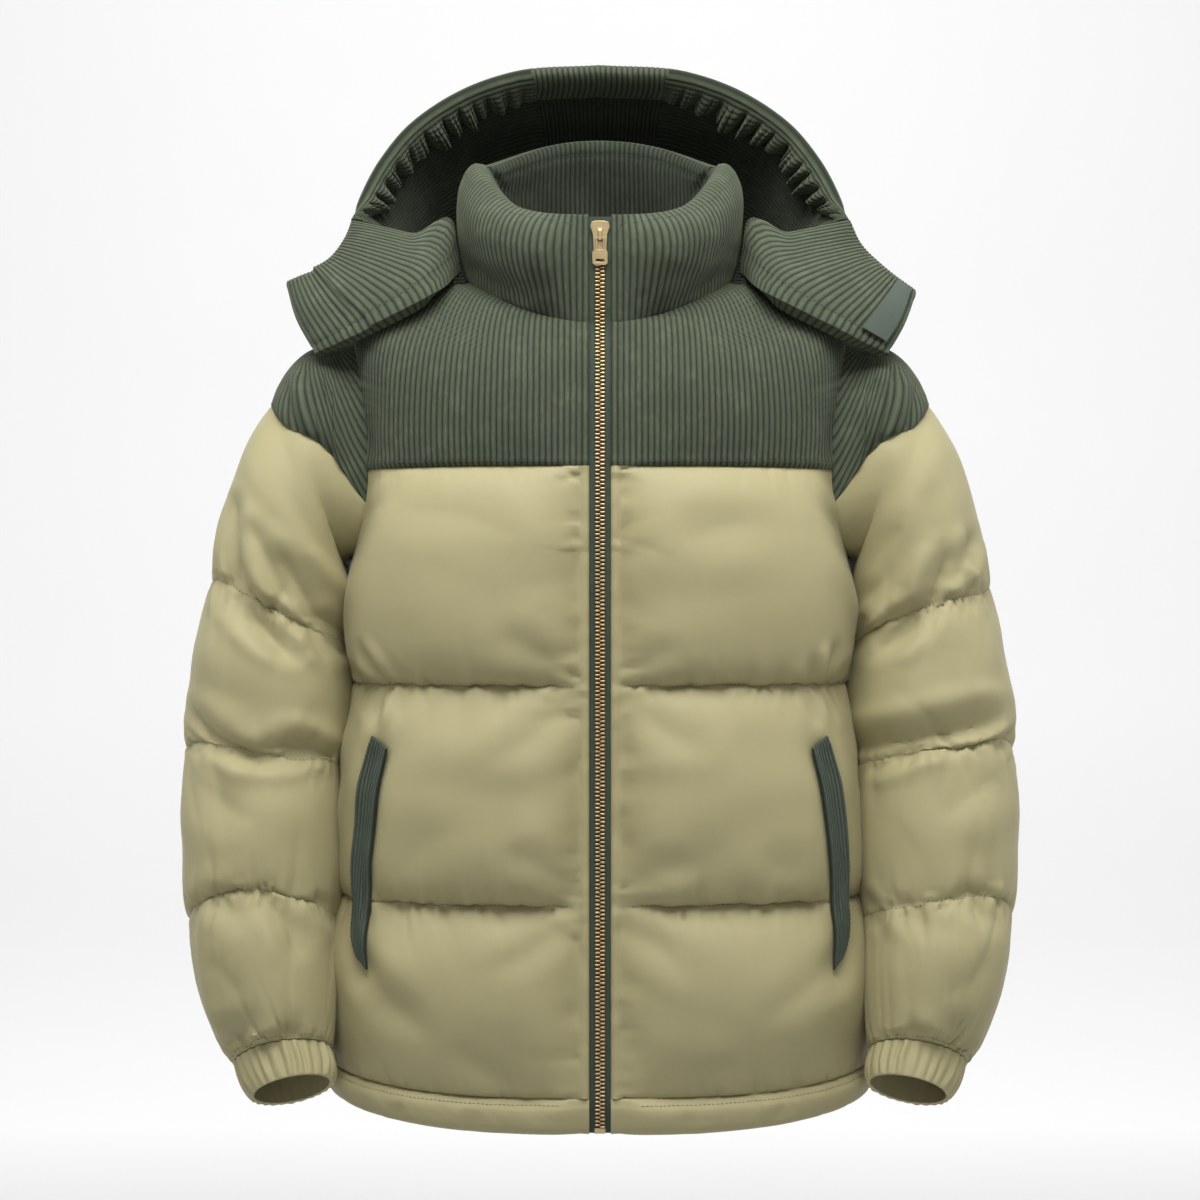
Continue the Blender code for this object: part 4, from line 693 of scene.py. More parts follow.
backCreases = (
    (14, 2.0, -30, -200, -90, -186, -130, -180), (14, 2.0, 40, -208, 100, -190),
    (7, 3.0, -150, -300, -140, -322), (7, 3.0, 155, -296, 146, -326), (14, 2.2, -40, -342, -96, -372),
    (14, 2.2, 56, -346, 120, -390), (13, 2.2, -60, -452, -120, -440), (13, 2.0, 30, -460, 90, -446),
    (13, 2.2, -30, -510, -100, -536), (13, 2.2, 70, -506, 136, -548), (11, 1.6, -20, -590, -70, -606),
    (11, 1.6, 60, -594, 110, -604),
)


weltRows = (
    (-0.36, 44.5, 50.3), (-0.38, 45.9, 53.2), (-0.402, 47.1, 55.2), (-0.43, 48.1, 56.5),
    (-0.465, 48.9, 57.0), (-0.493, 49.3, 56.4), (-0.512, 49.1, 54.9), (-0.527, 48.5, 52.5),
)


def weltBed(around, level):
    # 1 where a pocket welt holds the padding down
    rows = np.array(weltRows)[::-1]
    middle = np.radians(smoothRead(rows[:, 0], (rows[:, 1] + rows[:, 2]) / 2, np.clip(level, -0.527, -0.360)))
    fadeBelow, fadeAbove, fade = -0.560, -0.345, 0.03
    return hump(around - middle, 0.11) * ramp((level - fadeBelow) / fade) * ramp((fadeAbove - level) / fade)


def bodyRelief(angles, levels, seed, creaseTable):
    grid = gridOf(levels, angles)
    points = torso(angles, grid)
    around, along = np.abs(angles), distances(points, 1)
    atFront = np.cos(angles) > 0
    fromStitch = besideStitch(points, angles)
    tiers = tierPuff(grid, tierSeams, sag=quiltedBody["sag"])
    bed = np.where(atFront, weltBed(around, grid), 0.0)
    tiers = tiers * (1 - bed) + quiltedBody["bedPuff"] * bed
    tiers = tiers * (1 - 0.55 * hump(grid - seamLevel["hem"], 0.050))
    fromPlacket = np.where(atFront, np.sqrt(ramp(fromStitch / bodyShape["puffFromPlacket"])), 1.0)
    sideShare = 1.0 - (1.0 - bodyShape["puffAtSide"]) * hump(around - math.pi / 2, 0.50)
    room = nearArmhole(around, grid)
    puff = bodyShape["puff"] * tiers * fromPlacket * sideShare * room
    wide = noiseField(along / 0.075, grid / 0.040 + 9, seed)
    narrow = noiseField(along / 0.034, grid / 0.028, seed + 1)
    puff = puff + quiltedBody["softFold"] * tiers * fromPlacket * room * (0.65 * wide + 0.35 * narrow)
    gathers = np.zeros(angles.shape)
    for number, level in enumerate(tierSeams):
        for above in (0, 1):
            away = np.where((grid > level) == bool(above), np.abs(grid - level), 1.0)
            gathers = gathers + puckers(along, away, seed + 10 + 4 * number + 2 * above,
                                        quiltedBody["seamPucker"] * seamGathers[number], 0.012, coarse=0.35)
    gathers = gathers * np.where(atFront, ramp(fromStitch / 0.012), 1.0) * (0.35 + 0.65 * room)
    beside = np.where(fromStitch > 0, fromStitch, 1.0)
    tucks = puckers(grid, beside, seed + 30, quiltedBody["placketPucker"], 0.010, 0.0046, 0.6)
    gathers = gathers + np.where(atFront, tucks, 0)
    strip = quiltedBody["strip"] * np.sin(clip01(-fromStitch / 0.0067) * math.pi) ** 0.5
    strip = np.where(fromStitch < 0, strip + 0.0009 * noiseLine(grid / 0.0045, seed + 50), 0.0)
    groove = np.where(atFront, bodyShape["stitchGroove"] * hump(fromStitch, 0.0011), 0.0)
    folds = creases(points, creaseTable) * (0.5 + 0.5 * clip01(tiers * 1.6)) * ramp(fromStitch / 0.01)
    atSeams = 0.5 + 0.5 * clip01(tiers * 2.2)
    # the sleeves press the sides flat
    pressed = hump(around - math.pi / 2, 0.42) * ramp((quiltedBody["sidePressedBelow"] - grid) / 0.03)
    gathers = gathers * np.where(atFront & (fromStitch < 0), 0.0, 1.0)
    relief = np.maximum(puff + gathers + strip - groove - folds * atSeams, -quiltedBody["deepest"])
    return relief + bodyShape["pressed"] * pressed


def torsoPanel(name, node, slotName, padding, angles, levels, relief, step=5, across=None, hang=None):
    grid = gridOf(levels, angles)
    inner = torso(angles, grid)
    outer = inner + torsoNormal(angles, grid) * (bodyShape["wall"] + relief)[..., None]
    if hang is not None:
        outer[..., 2] -= hang
    marks = clothMarks(outer, None if across is None else across / pitch)
    panel(name, node, slotName, outer, inner, marks, "lining", step, padding=padding)
    return outer


def distinctLevels(fixed, others, apart=4e-4):
    # the fixed levels stay as they are, and the others keep clear of them
    kept = sorted(fixed)
    for level in sorted(others):
        if min(abs(level - other) for other in kept) > apart:
            kept = sorted(kept + [level])
    return np.array(kept)


chestLevel, shoulderLevel = -0.217, -0.087  # rings of the solids that the rows keep
bodyLevels = spacedLevels(list(zip(tierSeams[:-1], tierSeams[1:], (64, 72, 70))))
bodyLevels = distinctLevels(tierSeams + [chestLevel],
                            np.concatenate([armholeLevels(26, upper=False), bodyLevels]))
bodyGrids = {}


def bodyHang(angles, levels, seed):
    # how far the padding hangs over the seam below it
    grid = gridOf(levels, angles)
    skin = torso(angles, grid)
    across = distances(skin, 1)
    hang = np.zeros(grid.shape)
    for number, (low, high) in enumerate(zip(tierSeams[:-1], tierSeams[1:])):
        share = clip01((grid - low) / (high - low))
        hang = hang + (1.0 if number else 0.3) * hump(share - 0.13, 0.12) * share ** 0.3 * (1 - share) ** 0.3
    fromStitch = besideStitch(skin, angles)
    uneven = 1 + 0.5 * noiseLine(across / 0.03, seed) + 0.35 * noiseLine(across / 0.007, seed + 3)
    # the quilting lines waver with their stitches
    atLines = hump(grid - seamLevel["lower"], 0.004) + hump(grid - seamLevel["upper"], 0.004)
    fromEnds = ramp(fromStitch / 0.006) * ramp(np.abs(np.abs(angles) - math.pi / 2) / 0.08)
    waver = quiltedBody["waver"] * noiseLine(across / 0.0042, seed + 7) * atLines * fromEnds
    hang = quiltedBody["droop"] * hang * uneven * ramp(fromStitch / 0.03)
    return hang * nearArmhole(np.abs(angles), grid) + waver


for side, name, node in bothSides("quiltedFront", "front"):
    angles = frontAngles(bodyLevels, side, quiltedBody["frontColumns"])
    relief = bodyRelief(angles, bodyLevels, seeds["front"] + side, frontCreases)
    outer = torsoPanel(name, node, "shell", quiltedBody["padding"], angles, bodyLevels, relief,
                       hang=bodyHang(angles, bodyLevels, seeds["frontHang"] + side))
    bodyGrids[side] = (outer, angles, relief)
angles = backAngles(bodyLevels, quiltedBody["backColumns"])
relief = bodyRelief(angles, bodyLevels, seeds["back"], backCreases)
outer = torsoPanel("quiltedBack", "back", "shell", quiltedBody["padding"], angles, bodyLevels, relief,
                   hang=bodyHang(angles, bodyLevels, seeds["backHang"]))
bodyGrids[0] = (outer, angles, None)
print("body quilted")

# corduroy yokes

yokeShape = {"columns": 270, "backColumns": 560, "waleHeight": 0.00085, "edgeRoll": 0.0016, "padding": 0.4}
yokeCreases = ((6, 1.4, -176, -118, -172, -140), (6, 1.6, 176, -112, 173, -142))


def yokeRelief(angles, levels, walesFrom, seed):
    grid = gridOf(levels, angles)
    points = torso(angles, grid)
    around = np.abs(angles)
    atFront = np.cos(angles) > 0
    fromStitch = besideStitch(points, angles)
    tiers = tierPuff(grid, (seamLevel["yoke"], seamLevel["neck"]), 3.0, 0.7)
    shoulder = 1.0 - 0.5 * hump(around - math.pi / 2, 0.25)
    room = nearArmhole(around, grid)
    fromPlacket = np.where(atFront, ramp(fromStitch / bodyShape["puffFromPlacket"]), 1.0)
    puff = bodyShape["yokePuff"] * tiers * fromPlacket * shoulder * room
    soft = 0.0010 * noiseField(points[..., 0] / 0.05 + 20, grid / 0.04, seed) * tiers * room
    groove = np.where(atFront, 0.0010 * hump(fromStitch, 0.0011), 0.0)
    roll = yokeShape["edgeRoll"] * hump(grid - seamLevel["yoke"] - 0.0035, 0.0026)
    wales = yokeShape["waleHeight"] * waleHeight(walesFrom / pitch)
    relief = puff + soft + roll - groove - creases(points, yokeCreases) * np.where(atFront, 1, 0)
    return np.maximum(relief, -0.0012) + wales


yokeLevels = spacedLevels([(seamLevel["yoke"], shoulderLevel, 24), (shoulderLevel, 0.0, 44)])
yokeLevels = distinctLevels([seamLevel["yoke"], shoulderLevel, 0.0],
                            np.concatenate([armholeLevels(26, True, 1.7), yokeLevels]), 8e-5)
yokeGrids = {}
for side, name, node in bothSides("yokeFront", "yoke_front"):
    angles = frontAngles(yokeLevels, side, yokeShape["columns"], 16, 2.4)
    skin = torso(angles, gridOf(yokeLevels, angles))
    across = distances(skin, 1) + bodyShape["tapeEdge"]
    relief = yokeRelief(angles, yokeLevels, across, seeds["yoke"] + side)
    yokeGrids[side] = torsoPanel(name, node, "corduroy", yokeShape["padding"], angles, yokeLevels, relief,
                                 across=across)
angles = backAngles(yokeLevels, yokeShape["backColumns"], 2.4)
skin = torso(angles, gridOf(yokeLevels, angles))
across = distances(skin, 1)
across = np.abs(across - across[:, -1:] / 2)
relief = yokeRelief(angles, yokeLevels, across, seeds["yokeBack"])
yokeGrids[0] = torsoPanel("yokeBack", "yoke_back", "corduroy", yokeShape["padding"], angles, yokeLevels,
                          relief, across=across)
print("yokes made")

# hem tunnel

hemShape = {"columns": 520, "bulge": 0.0086, "gather": 0.0011}
hemCreases = (
    (5, 1.6, -150, -640, -146, -628), (6, 1.4, -96, -646, -90, -630), (6, 1.2, 60, -646, 66, -632),
    (5, 1.6, 128, -640, 133, -628),
)


def wholeRound(level, columns, edgeX):
    start = float(angleAt(torsoRings, np.array([level]), edgeX)[0])
    return np.linspace(start, 2 * math.pi - start, columns)


levels = np.linspace(seamLevel["hemEdge"], seamLevel["hem"], 16)
edgeX = bodyShape["tapeEdge"] - 0.0002
angles = halfTurned(np.stack([wholeRound(level, hemShape["columns"], edgeX) for level in levels]))
grid = gridOf(levels, angles)
skin = torso(angles, grid)
along = distances(skin, 1)
rise = (grid - seamLevel["hemEdge"]) / (seamLevel["hem"] - seamLevel["hemEdge"])
fromStitch = besideStitch(skin, angles)
roll = hemShape["bulge"] * (1 - np.abs(2 * rise - 0.95) ** 3.0).clip(0) ** 0.6
roll = roll * (0.35 + 0.65 * ramp(fromStitch / 0.02))
gather = puckers(along, grid - seamLevel["hem"], seeds["hem"], hemShape["gather"], 0.010, 0.007)
gather = gather + puckers(along, grid - seamLevel["hemEdge"], seeds["hem"] + 10, hemShape["gather"] * 0.7,
                          0.008, 0.009)
gather = gather + 0.0007 * noiseLine(along / 0.05, seeds["hem"] + 19)
groove = 0.0010 * hump(grid - seamLevel["hem"] + 0.0035, 0.0010) + 0.0010 * hump(fromStitch, 0.0011)
gather = gather * ramp(fromStitch / 0.006 + 0.3)
relief = np.maximum(roll + gather - groove - creases(skin, hemCreases), -0.001)
hemGrid = torsoPanel("hemTunnel", "hem", "shell", 0.2, angles, levels, relief, step=3)
print("hem made")

# sleeves, caps and cuffs
# each ring: its share of the length, x and z of its outer and inner points, y, half depth, lean in degrees

sleeveRings = (
    (0.055, 0.2310, -0.0610, 0.2060, -0.2240, 0.000, 0.0705, 0),
    (0.12, 0.2565, -0.0950, 0.2050, -0.2440, 0.000, 0.0720, 0),
    (0.23, 0.2790, -0.1500, 0.2045, -0.2700, -0.003, 0.0730, 4),
    (0.355, 0.3040, -0.2400, 0.2025, -0.2900, -0.008, 0.0700, 8),
    (0.47, 0.3125, -0.3080, 0.2020, -0.3370, -0.014, 0.0700, 11),
    (0.595, 0.3205, -0.3720, 0.2050, -0.3860, -0.024, 0.0670, 15),
    (0.71, 0.3165, -0.4400, 0.2085, -0.4430, -0.039, 0.0650, 19),
    (0.82, 0.3140, -0.5000, 0.2110, -0.4990, -0.054, 0.0600, 23),
    (0.92, 0.2965, -0.5600, 0.2120, -0.5550, -0.072, 0.0510, 26),
    (1.00, 0.2755, -0.6050, 0.2080, -0.5930, -0.086, 0.0360, 28),
)
cuffRings = (
    (0.00, 0.2752, -0.6058, 0.2082, -0.5938, -0.0864, 0.0355, 28),
    (0.50, 0.2680, -0.6180, 0.2055, -0.6060, -0.0930, 0.0330, 28),
    (1.00, 0.2615, -0.6280, 0.2040, -0.6150, -0.1000, 0.0315, 28),
)
sleeveShape = {
    "length": 0.60, "girth": 0.072, "columns": 320, "rows": (84, 68, 64, 60), "puff": 0.015,
    "lostInside": 0.72, "lostOutside": 0.62, "pucker": 0.0034, "endPucker": 0.0042, "softFold": 0.0042,
    "sag": 1.25, "pressed": 0.0044, "foldStrength": 1.55, "waver": 0.0012, "deepest": 0.0014,
}
quiltShares = (0.355, 0.595, 0.82)
# how each quilting line wanders across the front of a sleeve: degrees round it, and shares of its length
quiltWander = {
    -1: (
        ((0, 0), (40, -0.004), (75, 0.002), (110, 0.01), (150, 0.004), (180, 0), (360, 0)),
        ((0, 0), (40, -0.002), (80, 0.01), (115, 0.016), (140, 0.004), (180, 0), (360, 0)),
        ((0, 0), (45, -0.004), (85, -0.012), (120, -0.006), (180, 0), (360, 0)),
    ),
    1: (
        ((0, 0), (40, 0.012), (80, 0.006), (120, -0.004), (180, 0), (360, 0)),
        ((0, 0), (40, -0.008), (80, 0.008), (120, 0.006), (180, 0), (360, 0)),
        ((0, 0), (40, -0.01), (80, -0.002), (120, 0.008), (180, 0), (360, 0)),
    ),
}
sleeveCreases = {
    -1: (
        (7, 5.5, -275, -178, -273, -240, -264, -266, -240, -297),
        (6, 4.0, -260, -197, -250, -226, -242, -247), (8, 6.0, -243, -218, -225, -256, -205, -296),
        (6, 5.0, -220, -262, -203, -288, -186, -304), (5, 3.2, -286, -238, -283, -262),
        (5, 3.0, -228, -276, -218, -300), (8, 6.5, -307, -338, -292, -350, -266, -368, -228, -372),
        (6, 5.5, -259, -354, -240, -357, -214, -372), (5, 3.0, -311, -350, -302, -372),
        (13, 2.2, -300, -392, -262, -420), (7, 3.2, -250, -480, -236, -500, -232, -520),
        (8, 2.6, -286, -470, -270, -492), (5, 2.6, -222, -478, -214, -500),
        (8, 3.4, -276, -585, -258, -560), (7, 3.0, -240, -588, -232, -566),
        (12, 2.0, -288, -520, -262, -545),
    ),
    1: (
        (7, 4.0, 262, -214, 252, -251), (6, 3.6, 282, -203, 269, -234), (5, 3.0, 273, -232, 283, -258),
        (8, 5.0, 251, -252, 238, -272, 222, -292), (10, 3.0, 232, -196, 224, -236, 206, -262),
        (6, 3.6, 214, -262, 204, -292), (9, 6.0, 300, -338, 272, -346, 236, -356, 200, -368),
        (5, 3.0, 312, -350, 300, -368), (6, 3.6, 252, -362, 232, -374, 212, -384),
        (13, 2.2, 296, -388, 258, -416), (7, 3.0, 234, -478, 244, -502), (8, 2.8, 276, -470, 286, -496),
        (5, 2.6, 214, -476, 218, -502), (8, 3.2, 262, -560, 254, -588), (7, 3.0, 236, -566, 240, -590),
        (12, 2.0, 284, -522, 256, -546),
    ),
}
capReach = (0.125, 0.124, 0.118, 0.104, 0.075, 0.032, 0.0)


def sleeveRing(table, share, turn):
    rows = np.array(table)
    read = smoothRead(rows[:, 0], rows[:, 1:], share)
    outerX, outerZ, innerX, innerZ, centreY, depth, lean = np.moveaxis(read, -1, 0)
    lean = np.radians(lean)
    x = (outerX + innerX) / 2 + (outerX - innerX) / 2 * np.cos(turn)
    y = centreY - depth * np.cos(lean) * np.sin(turn)
    z = (outerZ + innerZ) / 2 + (outerZ - innerZ) / 2 * np.cos(turn) + depth * np.sin(lean) * np.sin(turn)
    return np.stack([x, y, z], axis=-1)


def sleeveSurface(turn, share):
    turn, share = np.broadcast_arrays(np.asarray(turn, dtype=float), np.asarray(share, dtype=float))
    start = torso(*armhole(turn, 0.0008, 0.0002))
    keys = [row[0] for row in sleeveRings]
    stations = [start] + [sleeveRing(sleeveRings, np.full(turn.shape, key), turn) for key in keys]
    return readStations(np.array([0.0] + keys), np.stack(stations), share)


def sleeveWall(turns, shares, relief):
    inner = sleeveSurface(turns, shares)
    normals = surfaceNormals(sleeveSurface, turns, np.clip(shares, 2e-4, 1.0 - 2e-4))
    atStart = torsoNormal(*armhole(turns, 0.0008, 0.0002))
    last = np.ones(turns.shape)
    middle = (sleeveRing(sleeveRings, last, turns) + sleeveRing(sleeveRings, last, turns + math.pi)) / 2
    fromStart = ramp(shares / 0.05)[..., None]
    toEnd = ramp((shares - 0.97) / 0.03)[..., None]
    normals = normals * fromStart + atStart * (1.0 - fromStart)
    normals = unit(normals * (1.0 - toEnd) + unit(inner - middle) * toEnd)
    return inner + normals * (bodyShape["wall"] + relief)[..., None], inner


def capEdge(turns):
    # how far the corduroy cap reaches down the sleeve, by the angle from its top
    fromTop = np.degrees(np.abs(halfTurned(turns)))
    return smoothRead(np.arange(len(capReach)) * 18.0, capReach, np.minimum(fromTop, 108.0))


def sideShares(turns, puffHeight):
    facingBody = 0.5 - 0.5 * np.cos(turns)
    outside = clip01(np.cos(turns))
    puffHeight = puffHeight * (1.0 - sleeveShape["lostInside"] * facingBody**1.5)
    return puffHeight * (1.0 - sleeveShape["lostOutside"] * outside**2)


# how far each tier hangs over its lower seam, in millimetres, by the angle round the sleeve
droops = {
    -1: (
        ((0, 1), (60, 3), (110, 6), (150, 4), (180, 2), (360, 1)),
        ((0, 3), (35, 5), (80, 9), (120, 7), (150, 5), (360, 3)),
        ((0, 3), (50, 5), (100, 6), (150, 3), (360, 3)), ((0, 3), (50, 5), (130, 5), (360, 3)),
    ),
    1: (
        ((0, 1), (50, 3), (100, 5), (150, 4), (180, 2), (360, 1)),
        ((0, 3), (40, 6), (80, 7), (120, 6), (150, 4), (360, 3)),
        ((0, 3), (50, 5), (100, 5), (150, 3), (360, 3)), ((0, 3), (50, 5), (130, 5), (360, 3)),
    ),
}
turns = np.arange(sleeveShape["columns"]) * (2 * math.pi / sleeveShape["columns"])
degrees = np.degrees(turns)
tierRows = np.concatenate([[0], np.cumsum(sleeveShape["rows"])])
sleeveGrids = {}
for side, name, ends in bothSides("sleeve", ""):
    lines = [capEdge(turns)]
    for base, wander in zip(quiltShares, quiltWander[side]):
        lines.append(base + smoothRead(*np.array(wander).T, degrees))
    lines.append(np.ones(len(turns)))
    shares, tiers, hang = [], [], []
    for number, count in enumerate(sleeveShape["rows"]):
        parts = spaced(count)[(1 if number else 0):]
        shares.append(lines[number][None, :] + (lines[number + 1] - lines[number])[None, :] * parts[:, None])
        tiers.append(np.repeat(puffShape(parts, sag=sleeveShape["sag"])[:, None], len(turns), axis=1))
        uneven = 1 + 0.5 * noiseLine(turns * 4, seeds["sleeve"] + 40 + number + side)
        over = smoothRead(*np.array(droops[side][number]).T, degrees) * uneven
        hang.append((hump(parts - 0.86, 0.13) * (1 - parts) ** 0.25)[:, None] * 0.0013 * over[None, :])
    shares, tiers, hang = np.concatenate(shares), np.concatenate(tiers), np.concatenate(hang)
    grid = np.broadcast_to(turns[None, :], shares.shape)
    height = sideShares(grid, sleeveShape["puff"])
    around = grid * sleeveShape["girth"]
    soft = noiseField(around / 0.0754 + 7, shares / 0.075, seeds["sleeve"] + side) * 0.65
    soft = soft + noiseField(around / 0.0302, shares / 0.05, seeds["sleeve"] + 5 + side) * 0.35
    seam = clip01(np.minimum(grid, 2 * math.pi - grid) / 0.3)
    backing = np.clip(height / sleeveShape["puff"] * 1.4, 0.15, 1.0)
    relief = (height + sleeveShape["softFold"] * soft * backing * seam) * tiers
    for number, line in enumerate(lines[1:]):
        depth = sleeveShape["pucker"] if number < 3 else sleeveShape["endPucker"]
        for above in (0, 1):
            away = np.abs(shares - line) * sleeveShape["length"]
            away = np.where((shares < line) == bool(above), away, 1.0)
            seed = seeds["sleeve"] + 20 + 10 * number + 4 * above + side
            relief = relief + backing * puckers(around, away, seed, depth, 0.020)
    bare = mirrored(sleeveSurface(grid, shares), side)
    facing = clip01(np.sin(grid) * 1.6 + 0.1)
    folds = sleeveShape["foldStrength"] * creases(bare, sleeveCreases[side])
    relief = relief - folds * facing * (0.3 + 0.7 * clip01(tiers * 2.5))
    beside = (0.5 - 0.5 * np.cos(grid)) ** 3 * ramp((shares - 0.07) / 0.10) * ramp((0.98 - shares) / 0.08)
    relief = np.maximum(relief, -sleeveShape["deepest"]) + sleeveShape["pressed"] * beside
    outer, inner = sleeveWall(grid, shares, relief)
    near = sum(hump((shares - line) * sleeveShape["length"], 0.004) for line in lines[1:4])
    waver = sleeveShape["waver"] * noiseLine(around / 0.0042, seeds["sleeve"] + 60 + side) * near * seam
    outer[..., 2] -= hang * clip01(backing * 1.2) + waver
    outer, inner = mirrored(outer, side), mirrored(inner, side)
    sleeveGrids[side] = outer
    panel(name, ["sleeve_upper" + ends, "sleeve_lower" + ends], "shell", outer, inner, clothMarks(outer),
          "lining", 6, wrapped=True, padding=0.7)

capShape = {"columns": 330, "rows": 84, "axisX": 0.196, "axisLean": 0.42, "axisZ": -0.10, "radius": 0.064}
capCreases = {
    -1: (
        (4, 4.0, -214, -80, -208, -120, -203, -160), (4, 3.6, -226, -78, -219, -116, -211, -160),
        (5, 2.6, -240, -84, -234, -112, -224, -146), (3, 2.6, -204, -86, -202, -130),
    ),
    1: (
        (4, 3.6, 212, -84, 206, -124, 202, -162), (4, 3.8, 226, -80, 220, -112, 210, -150),
        (5, 2.4, 242, -88, 236, -112, 228, -134), (3, 2.6, 203, -90, 201, -134),
    ),
}
capGrids = {}
span = math.radians(107.5)
capTurns = np.linspace(-span, span, capShape["columns"])
parts = np.linspace(0.0, 1.0, capShape["rows"])
reach = np.maximum(capEdge(np.where(capTurns < 0, capTurns + 2 * math.pi, capTurns)), 0.0004)
shares = parts[:, None] * reach[None, :]
grid = np.broadcast_to(capTurns[None, :], shares.shape)
swell = tierPuff(np.broadcast_to(parts[:, None], grid.shape), (0.0, 1.0)) * clip01(reach / 0.06)[None, :]
skin = sleeveSurface(grid, shares)
# the wales hang down the sleeve and lean towards the armpit
axis = capShape["axisX"] + capShape["axisLean"] * (skin[..., 2] - capShape["axisZ"])
around = np.arctan2(-skin[..., 1], skin[..., 0] - axis) * capShape["radius"] / pitch
for side, name, node in bothSides("cap", "sleeve_cap"):
    bare = mirrored(skin, side)
    folded = 1.4 * creases(bare, capCreases[side]) * clip01(np.sin(grid) * 2) * clip01(swell * 3)
    relief = np.maximum(sideShares(grid, bodyShape["yokePuff"]) * swell - folded, -0.0015)
    relief = relief + yokeShape["waleHeight"] * waleHeight(around)
    outer, inner = sleeveWall(grid, shares, relief)
    capGrids[side] = mirrored(outer, side)
    panel(name, node, "corduroy", capGrids[side], mirrored(inner, side), clothMarks(outer, around),
          "lining", 6, padding=0.35)

cuffShape = {"gathers": 26, "columns": 312, "rows": 26, "depth": 0.0032, "wall": 0.0020, "bulge": 0.0012,
             "inside": 0.0008, "flat": (0.27, 0.031)}


def cuffSurface(turn, share):
    return sleeveRing(cuffRings, share, turn)


turns = np.arange(cuffShape["columns"]) * (2 * math.pi / cuffShape["columns"])
parts = np.linspace(0.0, 1.0, cuffShape["rows"])
grid, shares = np.broadcast_arrays(turns[None, :], parts[:, None])
for side, name, node in bothSides("cuff", "cuff"):
    inner = cuffSurface(grid, shares)
    normals = surfaceNormals(cuffSurface, grid, np.clip(shares, 1e-3, 1 - 1e-3))
    topMiddle = (cuffSurface(turns, 0 * turns) + cuffSurface(turns + math.pi, 0 * turns)) / 2
    level = ramp(shares / 0.12)[..., None]
    normals = unit(normals * level + unit(inner - topMiddle[None]) * (1 - level))
    seed = seeds["cuff"] + side
    wander = 0.9 * noiseLine(grid * 3.2, seed) + 0.35 * noiseField(grid * 5, shares * 2.2, seed + 10)
    phase = grid * cuffShape["gathers"] + wander
    strength = 0.75 + 0.35 * noiseLine(grid * cuffShape["gathers"] / (2 * math.pi), seed + 20)
    pleat = (0.5 + 0.5 * np.cos(phase)) ** 0.8 * strength
    swell = 0.35 + 0.65 * clip01(np.sin(math.pi * (0.08 + 0.90 * shares))) ** 0.5
    bulge = cuffShape["bulge"] * np.sin(math.pi * shares)
    outer = inner + normals * (cuffShape["wall"] + cuffShape["depth"] * pleat * swell + bulge)[..., None]
    inside = inner - normals * (cuffShape["inside"] * pleat)[..., None]
    outer, inside = mirrored(outer, side), mirrored(inside, side)
    cut = dict(flat=cuffShape["flat"], held="gathered", rests_on=[node.replace("cuff", "sleeve_lower")])
    panel(name, node, "shell", outer, inside, clothMarks(outer), step=2, wrapped=True, sheet=cut)
print("sleeves made")

# collar

collarShape = {"wales": 138, "halfThickness": 0.0100, "edge": 0.0015, "waleHeight": 0.0008,
               "frontDrop": 0.052, "bulge": 0.0205, "topStitch": 0.90}
fatness = ((0.0, 0.16), (0.06, 0.4), (0.14, 0.7), (0.35, 1.0), (0.75, 1.0), (0.9, 0.88), (0.97, 0.62),
           (1.0, 0.3))
# dents of the rim where it turns at the sides: depth, place round it, slant, half width
collarDents = ((0.0042, 1.86, 1.1, 0.055), (0.0030, 1.52, -0.8, 0.05), (0.0034, 0.64, 0.9, 0.07))
collarCreases = (
    (8, 2.2, -92, 22, -84, 4, -74, -8), (8, 2.4, 92, 24, 86, 6, 76, -10), (10, 1.2, -30, 30, -60, 20),
    (10, 1.2, 34, 30, 60, 18), (7, 1.4, -26, -20, -40, -34), (7, 1.4, 28, -20, 42, -36),
    (6, 3.2, -96, 8, -76, -9, -48, -25), (6, 2.8, 96, 5, 76, -11, 52, -26),
    (6, 2.0, -70, -2, -52, -14, -30, -18), (6, 2.0, 66, -2, 50, -12),
)


def collarSurface(angle, share):
    # its top edge drops from the sides to a level front
    points = ringPoint(collarRings, angle, share)
    ahead = clip01(np.cos(angle)) ** 2
    drop = collarShape["frontDrop"] * clip01(share) * ahead * (1.0 - ahead)
    return points - np.stack([0 * drop, 0 * drop, drop], axis=-1)


steps = waleSteps(collarShape["wales"])
shares = np.concatenate([np.linspace(0.003, 0.86, 44), 1.0 - 0.14 * (1 - np.linspace(0, 1, 17)[1:]) ** 1.6])
angles = []
for share in shares:
    fine = np.linspace(0, 1, 1500)
    start = float(angleAt(collarRings, np.array([share]), bodyShape["tapeEdge"])[0])
    ring = start + (2 * math.pi - 2 * start) * fine
    run = distances(collarSurface(ring, np.full(ring.shape, share))[None], 1)[0]
    angles.append(np.interp(steps / steps[-1] * run[-1], run, ring))
angles = halfTurned(np.array(angles))
grid = gridOf(shares, angles)
middle = collarSurface(angles, grid)
normals = surfaceNormals(collarSurface, angles, np.clip(grid, 1e-3, 1 - 1e-3))
fromStitch = besideStitch(middle, angles)
thick = smoothRead([row[0] for row in fatness], [row[1] for row in fatness], grid)
full = np.where(np.cos(angles) > 0, ramp((fromStitch + 0.004) / 0.035), 1.0)
edge = collarShape["edge"]
half = edge + (collarShape["halfThickness"] - edge) * (thick - 0.16).clip(0) / 0.84 * full
along = distances(middle, 1)
soft = 0.0011 * noiseField(along / 0.045, grid * 2.4, seeds["collar"]) * full
groove = 0.0009 * hump(fromStitch, 0.0011)
topGroove = 0.0011 * hump((grid - collarShape["topStitch"]) * 0.09, 0.0012)
